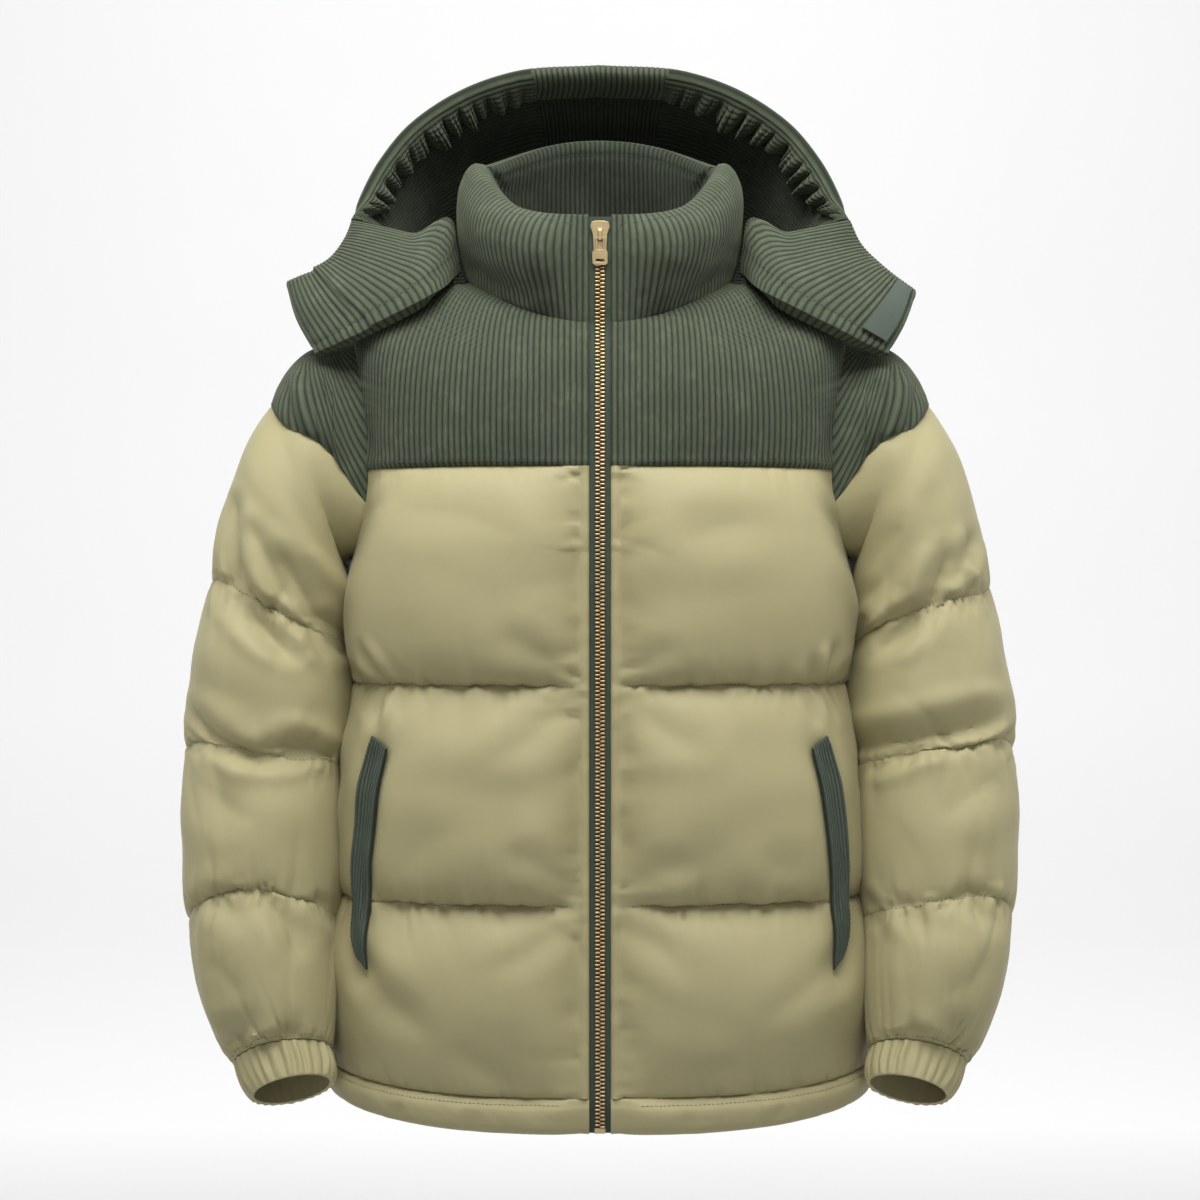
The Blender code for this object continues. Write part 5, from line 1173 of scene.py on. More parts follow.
wales = collarShape["waleHeight"] * waleHeight(steps)[None, :] * clip01((1.0 - grid) / 0.02)
wales = wales * clip01(grid / 0.01)
front = clip01(np.cos(angles) * 3)
bulge = collarShape["bulge"] * np.sin(math.pi * clip01(grid / 0.97) ** 1.7) ** 1.2 * full
bulge = bulge * (0.16 + 0.84 * np.cos(angles) ** 2)
corner = sum(depth * hump(np.abs(angles) - place - slant * (1 - grid), width)
             for depth, place, slant, width in collarDents) * ramp((grid - 0.66) / 0.16)
outerHalf = half + bulge + soft - groove - creases(middle, collarCreases) * front * full + wales
slack = 0.0016 * noiseField(along / 0.03 + 11, grid * 3, seeds["collar"] + 5)
innerHalf = np.maximum(half + slack * full - topGroove * full - corner * full + wales, 0.0010)
outer = middle + normals * outerHalf[..., None]
inner = middle - normals * innerHalf[..., None]
# the collar's inside takes the corduroy with painted shade
panel("collarPadded", "collar", "corduroy", outer, inner, clothMarks(outer, steps), "paintedShadeCorduroy",
      padding=0.65)
collarGrids = (outer, inner, shares)
print("collar made")

# hood, its rim and tabs

# lines from the crown's middle to a side: x, y and z at each of these shares of their run
hoodRun = (0.0, 0.24, 0.4, 0.56, 0.7, 0.88, 1.0)
hoodLines = {
    "rim": ((0.0, 0.066, 0.1895), (0.0715, 0.062, 0.183), (0.115, 0.056, 0.166), (0.154, 0.048, 0.138),
            (0.1765, 0.04, 0.109), (0.1945, 0.028, 0.072), (0.201, 0.018, 0.054)),
    "upper": ((0.0, 0.142, 0.146), (0.062, 0.14, 0.14), (0.101, 0.134, 0.125), (0.134, 0.118, 0.1),
              (0.155, 0.096, 0.074), (0.17, 0.054, 0.046), (0.172, 0.002, 0.045)),
    "lower": ((0.0, 0.203, 0.05), (0.064, 0.199, 0.046), (0.104, 0.186, 0.04), (0.136, 0.156, 0.03),
              (0.153, 0.122, 0.018), (0.156, 0.06, 0.01), (0.143, -0.014, 0.034)),
    "fold": ((0.0, 0.17, -0.008), (0.056, 0.166, -0.007), (0.09, 0.152, -0.005), (0.117, 0.122, 0.001),
             (0.131, 0.09, 0.006), (0.133, 0.042, 0.011), (0.122, -0.02, 0.019)),
}
hoodShape = {
    "lineShares": (0.0, 0.30, 0.62, 0.84, 0.94, 1.0), "panelSeam": 0.185, "rimShare": 0.115, "wall": 0.006,
    "neckAngle": math.radians(79), "neckLevel": -0.007, "lift": 0.0006, "overYokeLevel": -0.026,
    "overYokeLift": 0.015, "frontFoot": (0.1170, -0.0215, 0.0100), "waleHeight": 0.0008, "sideWales": 56,
    "centreWales": 28, "softFold": 0.0022, "beside": 0.026,
}


def besideCollar(around, share):
    # the hood is pushed up into a roll where it lies against the collar
    lifted = hoodShape["beside"] * hump(share - 0.80, 0.13) * ramp((around - 0.82) / 0.18)
    return np.stack([-0.22 * lifted, -0.15 * lifted, lifted], axis=-1)


def hoodSurface(place, share, rolled=True):
    place, share = np.broadcast_arrays(np.asarray(place, dtype=float), np.asarray(share, dtype=float))
    around = clip01(np.abs(place))
    stations = [smoothRead(hoodRun, rows, around, rounded=True) for rows in hoodLines.values()]
    angle = math.pi - (math.pi - hoodShape["neckAngle"]) * around
    lift = bodyShape["wall"] + hoodShape["lift"] + hoodShape["wall"] / 2
    feet = ((hoodShape["overYokeLevel"], hoodShape["overYokeLift"]), (hoodShape["neckLevel"], lift))
    for atLevel, height in feet:
        level = np.full(around.shape, atLevel)
        stations.append(torso(angle, level) + torsoNormal(angle, level) * height)
    toFront = ramp((around - 0.80) / 0.20)[..., None]
    stations[-2] = stations[-2] * (1.0 - toFront) + np.array(hoodShape["frontFoot"]) * toFront
    half = readStations(np.array(hoodShape["lineShares"]), np.stack(stations), share)
    if rolled:
        half = half + besideCollar(around, share)
    half[..., 0] *= np.where(place < 0, -1.0, 1.0)
    return half


def hoodNormals(places, shares):
    return surfaceNormals(hoodSurface, np.clip(places, -0.998, 0.998), np.clip(shares, 1e-3, 1 - 1e-3))


def hoodPanel(name, places, shares, wales, marksAcross, seed, node):
    gridPlaces, gridShares = np.broadcast_arrays(places[None, :], shares[:, None])
    middle = hoodSurface(gridPlaces, gridShares)
    normals = hoodNormals(gridPlaces, gridShares)
    inPanel = (gridShares - hoodShape["rimShare"]) / (1 - hoodShape["rimShare"])
    swell = np.sin(math.pi * np.clip(inPanel, 0.02, 1)) ** 0.5
    fromEnd = ramp((1.0 - np.abs(gridPlaces)) / 0.12)
    half = hoodShape["wall"] / 2 * (0.5 + 0.5 * swell * fromEnd)
    soft = noiseField(gridPlaces * 9 + 31, gridShares * 6, seed) * hoodShape["softFold"] * swell * fromEnd
    slack = noiseField(gridPlaces * 22 + 3, gridShares * 11, seed + 1) * hoodShape["softFold"] * 0.4 * swell
    relief = wales * hoodShape["waleHeight"]
    outer = middle + normals * (half + soft + slack + relief)[..., None]
    inner = middle - normals * (half - soft * 0.8 + slack + relief)[..., None]
    if marksAcross is None:
        marks = clothMarks(outer)[..., ::-1].copy()
        marks[..., 0] = sideSteps[:, None]
    else:
        marks = clothMarks(outer, marksAcross)
    # the hood's inside takes the corduroy with painted shade
    panel(name, node, "corduroy", outer, inner, marks, "paintedShadeCorduroy", padding=0.3)
    return outer, inner


first = hoodShape["rimShare"] + 0.001
centreSteps = waleSteps(hoodShape["centreWales"])
places = (centreSteps / centreSteps[-1] * 2 - 1) * hoodShape["panelSeam"]
shares = np.linspace(first, 0.99, 84)
hoodGrids = {0: hoodPanel("hoodCentre", places, shares, waleHeight(centreSteps)[None, :], centreSteps,
                          seeds["hoodCentre"], "hood_centre")}
sideSteps = waleSteps(hoodShape["sideWales"])
shares = first + (0.99 - first) * sideSteps / sideSteps[-1]
for side, name, node in bothSides("hoodSide", "hood_side"):
    places = np.linspace(hoodShape["panelSeam"], 0.997, 96) * side
    hoodGrids[side] = hoodPanel(name, places[::side], shares, waleHeight(sideSteps)[:, None], None,
                                seeds["hoodSide"] + side, node)

rimShape = {"bunchDepth": 0.0145, "bunchRun": 0.0165, "bunchesOutside": 0.12, "overhang": 0.0095,
            "columns": 960, "wales": 8}
steps = waleSteps(rimShape["wales"])
shares = steps / steps[-1] * hoodShape["rimShare"]
places = np.linspace(-0.997, 0.997, rimShape["columns"])
gridPlaces, gridShares = np.broadcast_arrays(places[None, :], shares[:, None])
middle = hoodSurface(gridPlaces, gridShares)
normals = hoodNormals(gridPlaces, gridShares)
along = distances(middle, 1)
across = gridShares / hoodShape["rimShare"]
aside = np.abs(places)
gathered = np.clip((aside - 0.80 * hoodShape["panelSeam"]) / 0.26, 0.06, 1) * ramp((1.0 - aside) / 0.05)
atCentre = clip01((hoodShape["panelSeam"] + 0.004 - aside) / 0.004)[None, :]
fullness = (0.35 + 0.65 * ramp((1.0 - aside) / 0.14))[None, :]
rounded = np.sqrt(1.0 - (1.0 - clip01(across / 0.40)) ** 2)
body = 0.0010 + 0.0060 * rounded * (1.0 - 0.55 * ramp((across - 0.80) / 0.20))
wales = waleHeight(steps)[:, None] * (1 - atCentre) + waleHeight(along / pitch) * atCentre
wales = hoodShape["waleHeight"] * wales * clip01(across / 0.02) * clip01((1 - across) / 0.02)
# the elastic draws the casing up into bunches, which leave its front edge smooth and hang over the stitching
seed = seeds["rim"]
run = along[-1:, :] + (0.006 * noiseLine(along[-1:, :] / 0.03, seed + 2) + 0.004) * across
turn = run / rimShape["bunchRun"] + 0.45 * noiseLine(run / 0.022, seed)
within = turn - np.floor(turn)
bunch = (1.0 - np.abs(2.0 * within**0.75 - 1.0) ** 2.0) * (0.85 + 0.30 * noiseLine(np.floor(turn), seed + 1))
small = (1.0 - np.abs(noiseLine(run / 0.0042, seed + 3))) ** 2.5
bump = (bunch - 0.34 - 0.34 * small) * gathered[None, :]
bunches = rimShape["bunchDepth"] * bump * ramp((across - 0.14) / 0.56)
bunches = bunches * (1 - 0.4 * ramp((across - 0.90) / 0.10))
inwards = unit(np.gradient(middle, axis=0))
lip = rimShape["overhang"] * clip01(bump) * ramp((across - 0.45) / 0.35) * (1 - ramp((across - 0.93) / 0.07))
body = body * fullness
outer = middle + normals * (body + wales + rimShape["bunchesOutside"] * bunches)[..., None]
inner = middle - normals * np.maximum(body + wales + bunches, 0.0012)[..., None] + inwards * lip[..., None]
marks = np.stack([steps[:, None] * (1 - atCentre) + along / pitch * atCentre,
                  along / pitch * (1 - atCentre) + steps[:, None] * atCentre], axis=-1)
panel("hoodRim", "hood_rim", "corduroy", outer, inner, marks, padding=0.5)
print("hood made")

# the tabs' edges as x, y and z of a left tab
tabLower = ((0.112, -0.02, 0.001), (0.1326, -0.085, -0.029), (0.1758, -0.08, -0.0493),
            (0.2195, -0.056, -0.065))
tabEdges = {
    -1: {
        "outer": ((0.2195, -0.056, -0.064), (0.238, -0.037, -0.033), (0.25, -0.01, 0.0)),
        "upper": ((0.201, 0.018, 0.054), (0.205, 0.008, 0.035), (0.214, 0.0, 0.02), (0.25, -0.01, 0.0)),
    },
    1: {
        "outer": ((0.2205, -0.056, -0.064), (0.237, -0.04, -0.038), (0.2505, -0.018, -0.009)),
        "upper": ((0.201, 0.018, 0.054), (0.209, 0.011, 0.033), (0.225, 0.001, 0.013),
                  (0.2505, -0.018, -0.009)),
    },
}
tabShape = {"halfThickness": 0.007, "edge": 0.0020, "wales": 28, "rows": 72, "doubled": 0.0028,
            "softFold": 0.0018, "pucker": 0.0007}


def outlineAt(points, at):
    points = np.array(points)
    lengths = distances(points[None], 1)[0]
    return smoothRead(lengths / lengths[-1], points, at, rounded=True)


def tabSurface(edges, across, along):
    across, along = np.broadcast_arrays(np.asarray(across, dtype=float), np.asarray(along, dtype=float))
    seam = hoodSurface(np.ones(along.shape), 1.0 - along, rolled=False)
    outer, upper = outlineAt(edges["outer"], along), outlineAt(edges["upper"], across)
    lower = outlineAt(tabLower, across)
    corners = [hoodSurface(np.ones(1), np.array([at]), rolled=False)[0] for at in (1.0, 0.0)]
    corners += [np.array(edges["outer"][0]), np.array(edges["outer"][-1])]
    roll = besideCollar(np.ones(along.shape), 1.0 - along)
    share, rise = across[..., None], along[..., None]
    lower = lower + (corners[0] - np.array(tabLower[0])) * (1 - share)
    lower = lower + (corners[2] - np.array(tabLower[-1])) * share
    upper = upper + (corners[1] - np.array(edges["upper"][0])) * (1 - share)
    bilinear = (corners[0] * (1 - share) * (1 - rise) + corners[2] * share * (1 - rise)
                + corners[1] * (1 - share) * rise + corners[3] * share * rise)
    flat = seam * (1 - share) + outer * share + lower * (1 - rise) + upper * rise - bilinear
    return flat + roll * (1 - share) ** 5


def tabHalf(across, along):
    edge = np.minimum(np.minimum(along, 1.0 - along) / 0.16, np.minimum(across / 0.16, (1.0 - across) / 0.14))
    rounded = np.sqrt(clip01(1.0 - (1.0 - clip01(edge)) ** 2))
    return tabShape["edge"] + (tabShape["halfThickness"] - tabShape["edge"]) * rounded


def tabSkin(edges, across, along, height):
    def surface(first, second):
        return tabSurface(edges, first, second)

    normals = surfaceNormals(surface, np.clip(across, 2e-3, 1 - 2e-3), np.clip(along, 2e-3, 1 - 2e-3))
    return surface(across, along) + normals * height[..., None]


steps = waleSteps(tabShape["wales"])
across = 0.012 + 0.988 * steps / steps[-1]
along = 0.03 + 0.945 * np.linspace(0.0, 1.0, tabShape["rows"])
gridAcross, gridAlong = np.broadcast_arrays(across[None, :], along[:, None])
tabGrids = {}
for side, name, node in bothSides("tab", "hood_tab"):
    half = tabHalf(gridAcross, gridAlong)
    inFrame = clip01(np.minimum(gridAlong - 0.10, 0.91 - gridAlong) / 0.03)
    toSeam = (0.0011 * hump(gridAcross - 0.76, 0.010) + 0.0010 * hump(gridAcross - 0.955, 0.008)) * inFrame
    lowGroove = 0.0012 * hump(gridAlong - 0.115, 0.014) - 0.0008 * hump(gridAlong - 0.055, 0.030)
    lowGroove = lowGroove * clip01(gridAcross / 0.05)
    # the wearer's right end is doubled over behind the flap
    doubled = tabShape["doubled"] * ramp((gridAcross - 0.66 - 0.05 * gridAlong) / 0.022) if side < 0 else 0.0
    seed = seeds["tab"] + side
    soft = tabShape["softFold"] * noiseField(gridAcross * 3.4, gridAlong * 2.6, seed) * (half > 0.004)
    drawn = puckers(gridAcross * 0.12, gridAlong * 0.05, seed + 30, tabShape["pucker"], 0.010, 0.006)
    wales = hoodShape["waleHeight"] * waleHeight(steps)[None, :] * np.clip(half / 0.004, 0.4, 1)
    height = half + soft + drawn + wales - toSeam - lowGroove - doubled
    top = tabSkin(tabEdges[side], gridAcross, gridAlong, height)
    bottom = tabSkin(tabEdges[side], gridAcross, gridAlong, -(half + wales))
    tabGrids[side] = mirrored(top, side)
    panel(name, node, "corduroy", tabGrids[side], mirrored(bottom, side), clothMarks(top, steps),
          padding=0.45)

patchShape = {"clearance": 0.0013, "thickness": 0.0010, "across": (0.80, 0.945), "along": (0.12, 0.88),
              "flat": (0.022, 0.068)}
gridAcross, gridAlong = np.broadcast_arrays(np.linspace(*patchShape["across"], 26)[None, :],
                                            np.linspace(*patchShape["along"], 60)[:, None])
under = tabHalf(gridAcross, gridAlong) + patchShape["clearance"]
top = tabSkin(tabEdges[1], gridAcross, gridAlong, under + patchShape["thickness"])
bottom = tabSkin(tabEdges[1], gridAcross, gridAlong, under)
panel("smoothPatch", "hook_patch", "patch", top, bottom, clothMarks(top), step=2,
      sheet=dict(flat=patchShape["flat"], held="laid", rests_on=["tabLeft"]))
print("tabs made")

# pocket welts, laid on the quilted fronts

weltShape = {"wales": 7, "rows": 120, "thickness": 0.0022, "clearance": 0.0012, "waleHeight": 0.0007,
             "slant": 0.009, "bow": 0.0012}


def smoothedDown(values, reach):
    window = np.hanning(2 * reach + 3)[1:-1]
    padded = np.pad(values, ((reach, reach), (0, 0)), mode="edge")
    return np.stack([np.convolve(column, window / window.sum(), mode="valid") for column in padded.T], axis=1)


def reliefAt(side, angles, levels):
    # the front's relief read at any place on it
    _, known, relief = bodyGrids[side]
    read = np.empty(angles.shape)
    for place in np.ndindex(angles.shape):
        row = np.clip(np.searchsorted(bodyLevels, levels[place]) - 1, 0, len(bodyLevels) - 2)
        part = clip01((levels[place] - bodyLevels[row]) / (bodyLevels[row + 1] - bodyLevels[row]))
        below = np.interp(angles[place], np.abs(known[row]), relief[row])
        above = np.interp(angles[place], np.abs(known[row + 1]), relief[row + 1])
        read[place] = below * (1 - part) + above * part
    return read


steps = waleSteps(weltShape["wales"])
across = steps / steps[-1]
rows = np.array(weltRows)[::-1]
base = np.linspace(rows[0, 0], rows[-1, 0], weltShape["rows"])
inward = np.radians(smoothRead(rows[:, 0], rows[:, 1], base))
outward = np.radians(smoothRead(rows[:, 0], rows[:, 2], base))
angles = inward[:, None] + (outward - inward)[:, None] * across[None, :]
levels = base[:, None] + weltShape["slant"] * (across[None, :] - 0.5)
weltGrids = {}
for side, name, node in bothSides("welt", "welt"):
    under = reliefAt(side, angles, levels)
    under = smoothedDown(np.maximum(under + 0.0005, smoothedDown(under, 20)), 5) + weltShape["clearance"]
    fromEnds = clip01(np.minimum(np.linspace(0, 20, len(base)), np.linspace(20, 0, len(base))))
    edge = np.minimum(np.minimum(across, 1 - across)[None, :] * 8, 1) * fromEnds[:, None]
    bow = weltShape["bow"] * np.sqrt(clip01(edge))
    height = under + weltShape["thickness"] + bow + weltShape["waleHeight"] * waleHeight(steps)[None, :]
    skin, normal = torso(side * angles, levels), torsoNormal(side * angles, levels)
    outer = skin + normal * (bodyShape["wall"] + height)[..., None]
    inner = skin + normal * (bodyShape["wall"] + under)[..., None]
    weltGrids[side] = outer
    panel(name, node, "corduroy", outer, inner, clothMarks(outer, steps), step=2, look="fineCorduroy",
          padding=0.1)

# zip

zipShape = {"tapeInner": 0.0001, "tapeOuter": 0.0083, "bottom": -0.6502, "top": 0.0385,
            "toothPitch": 0.0030, "toothAside": 0.00172, "toothSize": (0.0042, 0.0022, 0.0018),
            "chainTop": 0.0180, "chainBottom": -0.6455, "sliderFoot": 0.0062, "flat": (0.010, 0.70)}


def zipLine(height):
    body, upper = np.array(torsoRings), np.array(collarRings)
    heights = np.concatenate([body[:, 1], upper[1:, 1]])
    depths = np.concatenate([-body[:, 5] - bodyShape["wall"] / 2, -upper[1:, 5]])
    return smoothRead(heights, depths, height)


heights = np.linspace(zipShape["bottom"], zipShape["top"], 420)
for side, name, _ in bothSides("zipTape", "zip_tape"):
    across = np.linspace(zipShape["tapeInner"], zipShape["tapeOuter"], 7)
    lines = np.empty((len(heights), len(across), 3))
    lines[..., 0] = side * across[None, :]
    lines[..., 2] = heights[:, None]
    ripple = 0.0003 * noiseLine(heights / 0.006, seeds["tape"] + side)[:, None] * (across > 0.005)[None, :]
    cord = 0.0005 * hump(across - 0.0012, 0.0008)[None, :]
    lines[..., 1] = zipLine(heights)[:, None] - 0.0004 - ripple - cord
    behind = lines + np.array([0, 0.0009, 0])
    panel(name, "zip_tape", "tape", lines, behind, clothMarks(lines), step=2,
          sheet=dict(flat=zipShape["flat"], held="stretched", rests_on=["zip_chain"]))

# teeth and stitches, scattered by Geometry Nodes


def evaluatedMesh(name, holder):
    # what a holder's modifiers make of it; they and the holder go
    bpy.context.view_layer.update()
    graph = bpy.context.evaluated_depsgraph_get()
    evaluated = holder.evaluated_get(graph)
    result = bpy.data.meshes.new_from_object(evaluated, preserve_all_data_layers=True, depsgraph=graph)
    holder.modifiers.clear()
    bpy.data.objects.remove(holder)
    result.name = name
    return result


def scatter(name, points, turns, shape, size, variation, seed, material):
    # a mesh of one shape set on many points by Geometry Nodes
    data = bpy.data.meshes.new(name + "Points")
    data.from_pydata(np.asarray(points).tolist(), [], [])
    layer = data.attributes.new("turn", "FLOAT_VECTOR", "POINT")
    layer.data.foreach_set("vector", np.asarray(turns, dtype=np.float32).ravel())
    holder = placed(name + "Points", data)
    tree = bpy.data.node_groups.new(name + "Scatter", "GeometryNodeTree")
    tree.interface.new_socket("Geometry", in_out="OUTPUT", socket_type="NodeSocketGeometry")
    kinds = {"Geometry": "Geometry", "Shape": "Object", "Size": "Vector", "Variation": "Float", "Seed": "Int",
             "Finish": "Material"}
    named = {}
    for label, kind in kinds.items():
        socket = tree.interface.new_socket(label, in_out="INPUT", socket_type="NodeSocket" + kind)
        named[label] = socket.identifier
    graph = Graph(tree)
    entry = tree.nodes.new("NodeGroupInput")
    taken = {label: Wire(graph, entry.outputs[label]) for label in named}
    turn = graph.add("GeometryNodeInputNamedAttribute", {"data_type": "FLOAT_VECTOR"}, {"Name": "turn"})
    turned = graph.add("FunctionNodeEulerToRotation", {}, [turn])
    limits = {2: 1.0 - taken["Variation"], 3: 1.0 + taken["Variation"], "Seed": taken["Seed"]}
    chance = graph.add("FunctionNodeRandomValue", {"data_type": "FLOAT"}, limits, output=1)
    grown = graph.add("ShaderNodeVectorMath", {"operation": "SCALE"}, {0: taken["Size"], "Scale": chance})
    info = graph.add("GeometryNodeObjectInfo", {}, {"Object": taken["Shape"]}, output=4)
    spread = graph.add("GeometryNodeInstanceOnPoints", {},
                       {"Points": taken["Geometry"], "Instance": info, "Rotation": turned, "Scale": grown})
    real = graph.add("GeometryNodeRealizeInstances", {}, {"Geometry": spread})
    dressed = graph.add("GeometryNodeSetMaterial", {}, {"Geometry": real, "Material": taken["Finish"]})
    tree.links.new(dressed.socket, tree.nodes.new("NodeGroupOutput").inputs[0])
    modifier = holder.modifiers.new("scatter", "NODES")
    modifier.node_group = tree
    values = {"Shape": shape, "Size": size, "Variation": variation, "Seed": seed, "Finish": material}
    for label, value in values.items():
        modifier[named[label]] = value
    result = evaluatedMesh(name, holder)
    if not result.materials:
        result.materials.append(material)
    result.shade_smooth()
    return placed(name, result)


def freed(mesh, name):
    data = bpy.data.meshes.new(name)
    mesh.to_mesh(data)
    mesh.free()
    return placed(name, data)


def toothForm():
    # one tooth, its clasp on +X, its face towards -Y
    mesh = bmesh.new()
    bmesh.ops.create_cube(mesh, size=1.0)
    for vertex in mesh.verts:
        if vertex.co.x > 0:
            vertex.co.z *= 0.62
            vertex.co.y *= 0.80
    bmesh.ops.bevel(mesh, geom=mesh.edges[:] + mesh.verts[:], offset=0.16, segments=1, affect="EDGES",
                    profile=0.6)
    bmesh.ops.recalc_face_normals(mesh, faces=mesh.faces[:])
    return freed(mesh, "tooth")


def stitchForm():
    mesh = bmesh.new()
    bmesh.ops.create_icosphere(mesh, subdivisions=1, radius=1.0)
    return freed(mesh, "stitch")


tooth = toothForm()
heights = np.arange(zipShape["chainBottom"], zipShape["chainTop"], zipShape["toothPitch"] / 2)
side = np.where(np.arange(len(heights)) % 2 == 0, 1.0, -1.0)
points = np.stack([side * zipShape["toothAside"], zipLine(heights) - 0.0007, heights], axis=-1)
slope = np.arctan2(zipLine(heights + 0.002) - zipLine(heights - 0.002), 0.004)
turns = np.stack([-slope, 0 * heights, np.where(side > 0, math.pi, 0.0)], axis=-1)
turns[:, 0] *= np.where(side > 0, -1.0, 1.0)
piece = scatter("zipTeeth", points, turns, tooth, zipShape["toothSize"], 0.04, seeds["teeth"], looks["teeth"])
settle(piece, "jacket", "zip_chain", "teeth")


def bevelled(node, name, width, foot=0.0):
    # the kept shape with its edges rounded; its foot may reach further down
    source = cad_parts[node]
    data = source.data.copy()
    data.transform(source.matrix_world)
    holder = placed(name + "Rough", data)
    mesh = bmesh.new()
    mesh.from_mesh(data)
    bmesh.ops.remove_doubles(mesh, verts=mesh.verts[:], dist=1e-6)
    bmesh.ops.dissolve_limit(mesh, angle_limit=math.radians(2), verts=mesh.verts[:], edges=mesh.edges[:])
    lowest = min(vertex.co.z for vertex in mesh.verts)
    for vertex in mesh.verts:
        if vertex.co.z < lowest + 0.0004:
            vertex.co.z -= foot
    mesh.to_mesh(data)
    mesh.free()
    bevel = holder.modifiers.new("round", "BEVEL")
    bevel.width, bevel.segments, bevel.limit_method, bevel.angle_limit = width, 3, "ANGLE", math.radians(30)
    result = evaluatedMesh(name, holder)
    result.materials.clear()
    result.materials.append(looks["slider"])
    result.shade_flat()
    return placed(name, result)


slider = bevelled("zip_slider", "slider", 0.0005, zipShape["sliderFoot"])
settle(slider, "jacket", "zip_slider", "slider")
settle(bevelled("zip_pull_tab", "pullTab", 0.0003), "pull_tab", "zip_pull_tab", "slider")
settle(bevelled("zip_bottom_stop", "bottomStop", 0.0004), "jacket", "zip_bottom_stop", "slider")
print("zip made")

# length and gap of close and of loose stitches, their half sizes, and how far they stand out
stitchShape = {"close": (0.0024, 0.0009), "loose": (0.0022, 0.0012), "size": (0.00122, 0.00032, 0.00026),
               "proud": 0.00017, "reach": 0.0012, "fromYokeEdge": 0.0038}
threads = {"green": ([], []), "khaki": ([], [])}


def pathOn(grid, rows, columns, sign=1.0):
    # points of a grid and its outward directions along a path given in its rows and columns
    rows, columns = np.broadcast_arrays(np.asarray(rows, dtype=float), np.asarray(columns, dtype=float))
    outward = unit(np.cross(np.gradient(grid, axis=1), np.gradient(grid, axis=0))) * sign
    both = np.concatenate([grid, outward], axis=-1)
    low = np.clip(np.floor(rows).astype(int), 0, grid.shape[0] - 2)
    left = np.clip(np.floor(columns).astype(int), 0, grid.shape[1] - 2)
    rise, part = (rows - low)[:, None], (columns - left)[:, None]
    read = ((both[low, left] * (1 - part) + both[low, left + 1] * part) * (1 - rise)
            + (both[low + 1, left] * (1 - part) + both[low + 1, left + 1] * part) * rise)
    return read[:, :3], unit(read[:, 3:])


def sew(thread, path, loose=False):
    # runs of stitches along a path
    points, outward = path
    run = distances(points[None], 1)[0]
    count = int(run[-1] / sum(stitchShape["loose" if loose else "close"]))
    at = (np.arange(count) + 0.5) * run[-1] / max(count, 1)

    def read(values, place):
        return np.stack([np.interp(place, run, values[:, axis]) for axis in range(3)], axis=-1)

    up = unit(read(outward, at))
    ahead = read(points, at + stitchShape["reach"]) - read(points, at - stitchShape["reach"])
    ahead = unit(ahead - up * np.sum(ahead * up, axis=-1, keepdims=True))
    aside = np.cross(up, ahead)
    turns = np.stack([np.arctan2(aside[:, 2], up[:, 2]), -np.arcsin(np.clip(ahead[:, 2], -1, 1)),
                      np.arctan2(ahead[:, 1], ahead[:, 0])], axis=-1)
    threads[thread][0].append(read(points, at) + up * stitchShape["proud"])
    threads[thread][1].append(turns)


def rowAt(levels, level):
    return float(np.interp(level, levels, np.arange(len(levels))))


def wholeRow(grid, row, sign, first=0, last=None):
    columns = np.linspace(first, (grid.shape[1] - 1) if last is None else last, grid.shape[1] * 2)
    return pathOn(grid, np.full(columns.shape, row), columns, sign)


def wholeColumn(grid, column, sign, first=0, last=None):
    rows = np.linspace(first, (grid.shape[0] - 1) if last is None else last, grid.shape[0] * 2)
    return pathOn(grid, rows, np.full(rows.shape, column), sign)


def sewSide(side):
    # what is sewn on one side only: placket, sleeve, cap, welt and tab
    yoke, body, cap, welt = yokeGrids[side], bodyGrids[side][0], capGrids[side], weltGrids[side]
    sew("green", wholeColumn(yoke, 15, side))
    sew("khaki", wholeColumn(body, 7, side))
    sleeve = sleeveGrids[side]
    closed = np.concatenate([sleeve, sleeve[:, :1]], axis=1)
    for row in tierRows[1:4]:
        sew("khaki", wholeRow(closed, row, side), loose=True)
    sew("khaki", wholeRow(closed, len(sleeve) - 4.0, side))
    sew("green", wholeRow(cap, cap.shape[0] - 2.2, side, 30, cap.shape[1] - 31))
    last = welt.shape[1] - 1
    for column in (2.0, last - 2.0):
        sew("green", wholeColumn(welt, column, side, 3, len(welt) - 4))
    for row in (3, len(welt) - 4):
        sew("green", wholeRow(welt, row, side, 2, last - 2))
    tab = tabGrids[side]
    tall, wide = tab.shape[0] - 1, tab.shape[1] - 1
    for row in (0.11, 0.90):
        sew("green", wholeRow(tab, row * tall, side, 2, 0.96 * wide))
    for column in (0.76, 0.96):
        sew("green", wholeColumn(tab, column * wide, side, 0.11 * tall, 0.90 * tall))


for side in (-1, 1, 0):
    sign = side or 1
    row = rowAt(yokeLevels, seamLevel["yoke"] + stitchShape["fromYokeEdge"])
    sew("green", wholeRow(yokeGrids[side], row, sign, 2))
    for name in ("lower", "upper"):
        row = rowAt(bodyLevels, seamLevel[name])
        sew("khaki", wholeRow(bodyGrids[side][0], row, sign, 9 if side else 0), loose=True)
    if side:
        sewSide(side)

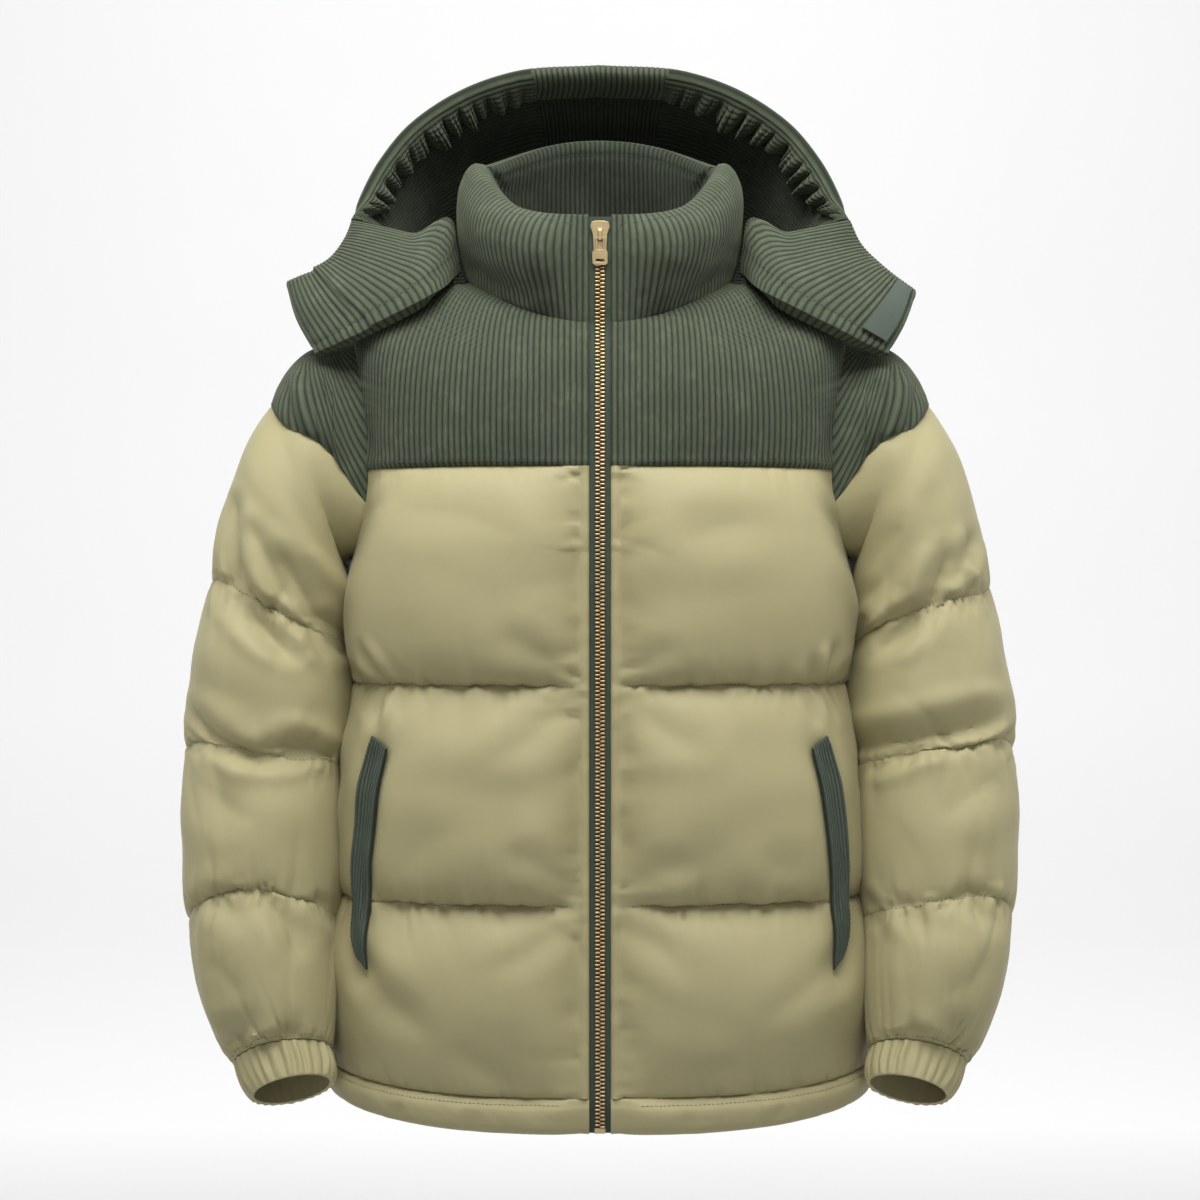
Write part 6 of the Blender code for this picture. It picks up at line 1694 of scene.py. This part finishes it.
hemRow = 15 - 15 * 0.0038 / 0.0265
sew("khaki", wholeRow(hemGrid, hemRow, 1, 4, hemGrid.shape[1] - 5))
outer, inner, shares = collarGrids
last = outer.shape[1] - 1
topRow = rowAt(shares, collarShape["topStitch"])
atStitch = int(np.argmin(np.abs(outer[20, : last // 4, 0] - bodyShape["placketStitch"])))
for grid, sign in ((outer, 1), (inner, -1)):
    sew("green", wholeRow(grid, topRow, sign, atStitch, last - atStitch))
    for column in (atStitch, last - atStitch):
        sew("green", wholeColumn(grid, column, sign, 0, topRow))
for skin, sign in ((0, 1), (1, -1)):
    centre = hoodGrids[0][skin]
    for column in (3.5, centre.shape[1] - 4.5):
        sew("green", wholeColumn(centre, column, sign))
    for side in (-1, 0, 1):
        sew("green", wholeRow(hoodGrids[side][skin], 1.2, sign))

stitch = stitchForm()
for thread in threads:
    places, turns = (np.concatenate(rows) for rows in threads[thread])
    piece = scatter(thread + "Stitches", places, turns, stitch, stitchShape["size"], 0.12, seeds[thread],
                    looks[thread + "Thread"])
    settle(piece, "jacket", [])
    print(thread, "stitches", len(places))
bpy.data.objects.remove(stitch)
bpy.data.objects.remove(tooth)

# floor, light and camera

setShape = {"floorLevel": -1.05, "half": 6.0, "back": 4.5, "bend": 1.2, "rise": 5.0, "world": 0.14}
bend, corner = setShape["bend"], setShape["back"] - setShape["bend"]
profile = [(-setShape["half"], setShape["floorLevel"])]
profile += [(corner + bend * math.sin(turn), setShape["floorLevel"] + bend - bend * math.cos(turn))
            for turn in np.linspace(0, math.pi / 2, 14)]
profile.append((setShape["back"], setShape["rise"]))
points = [(x, y, z) for y, z in profile for x in (-setShape["half"], setShape["half"])]
faces = [(2 * row, 2 * row + 1, 2 * row + 3, 2 * row + 2) for row in range(len(profile) - 1)]
data = bpy.data.meshes.new("backdrop")
data.from_pydata(points, [], faces)
data.shade_smooth()
# the paper glows a little far behind the jacket, as an overexposed backdrop does
paper = Finish("paleBackdrop", roughness=0.9, specularIorLevel=0.1, emissionStrength=1.0)
grain = paper.noise(paper.place(), 3.0, 2.0)
_, behind, height = paper.split(paper.place())
far = paper.add("ShaderNodeMapRange", {}, [behind, 0.3, 1.6])
risen = paper.add("ShaderNodeMapRange", {}, [height, -1.05, -0.55])
glow = far * (0.476 + 0.056 * risen)
paper.feed(baseColour=paper.mix(grain, (0.49, 0.49, 0.492), (0.51, 0.51, 0.512)),
           emission=paper.mix(glow, (0, 0, 0), (1, 1, 1)))
data.materials.append(paper.material)
placed("backdrop", data)

world = bpy.data.worlds.new("softStudio")
world.use_nodes = True
background = world.node_tree.nodes["Background"]
background.inputs["Color"].default_value = (1.0, 1.0, 1.0, 1.0)
background.inputs["Strength"].default_value = setShape["world"]
bpy.context.scene.world = world

# name, place, aim, width and height, watts
softLights = (
    ("overhead", (0.0, -0.85, 1.15), (0, -0.08, -0.25), (1.5, 0.8), 43),
    ("sideRight", (-1.6, -0.10, 0.35), (0, 0, -0.20), (0.7, 1.4), 10),
    ("sideLeft", (1.6, -0.10, 0.35), (0, 0, -0.20), (0.7, 1.4), 10),
    ("frontFill", (0.2, -3.0, 0.4), (0, 0, -0.3), (2.2, 1.6), 11),
    ("lowFill", (0.0, -2.0, -1.0), (0, 0, -0.6), (1.8, 0.5), 5.5),
    ("backdropWash", (0.0, 1.2, 3.2), (0, 4.5, -0.2), (3.0, 1.5), 95),
)
for name, place, aim, size, watts in softLights:
    data = bpy.data.lights.new(name, "AREA")
    data.shape, data.size, data.size_y, data.energy = "RECTANGLE", *size, watts
    lamp = placed(name, data)
    lamp.location = place
    lamp.rotation_euler = (Vector(aim) - Vector(place)).to_track_quat("-Z", "Y").to_euler()

camera = placed("camera", bpy.data.cameras.new("camera"))
camera.location = (0.0, -1.8, -0.252)
camera.rotation_euler = (math.pi / 2, 0.0, 0.0)
camera.data.lens, camera.data.sensor_width, camera.data.clip_end = 67.5, 36.0, 50.0
camera.data.dof.use_dof = False
bpy.context.scene.camera = camera
bpy.context.scene.view_settings.view_transform = "Standard"

print("stage set")
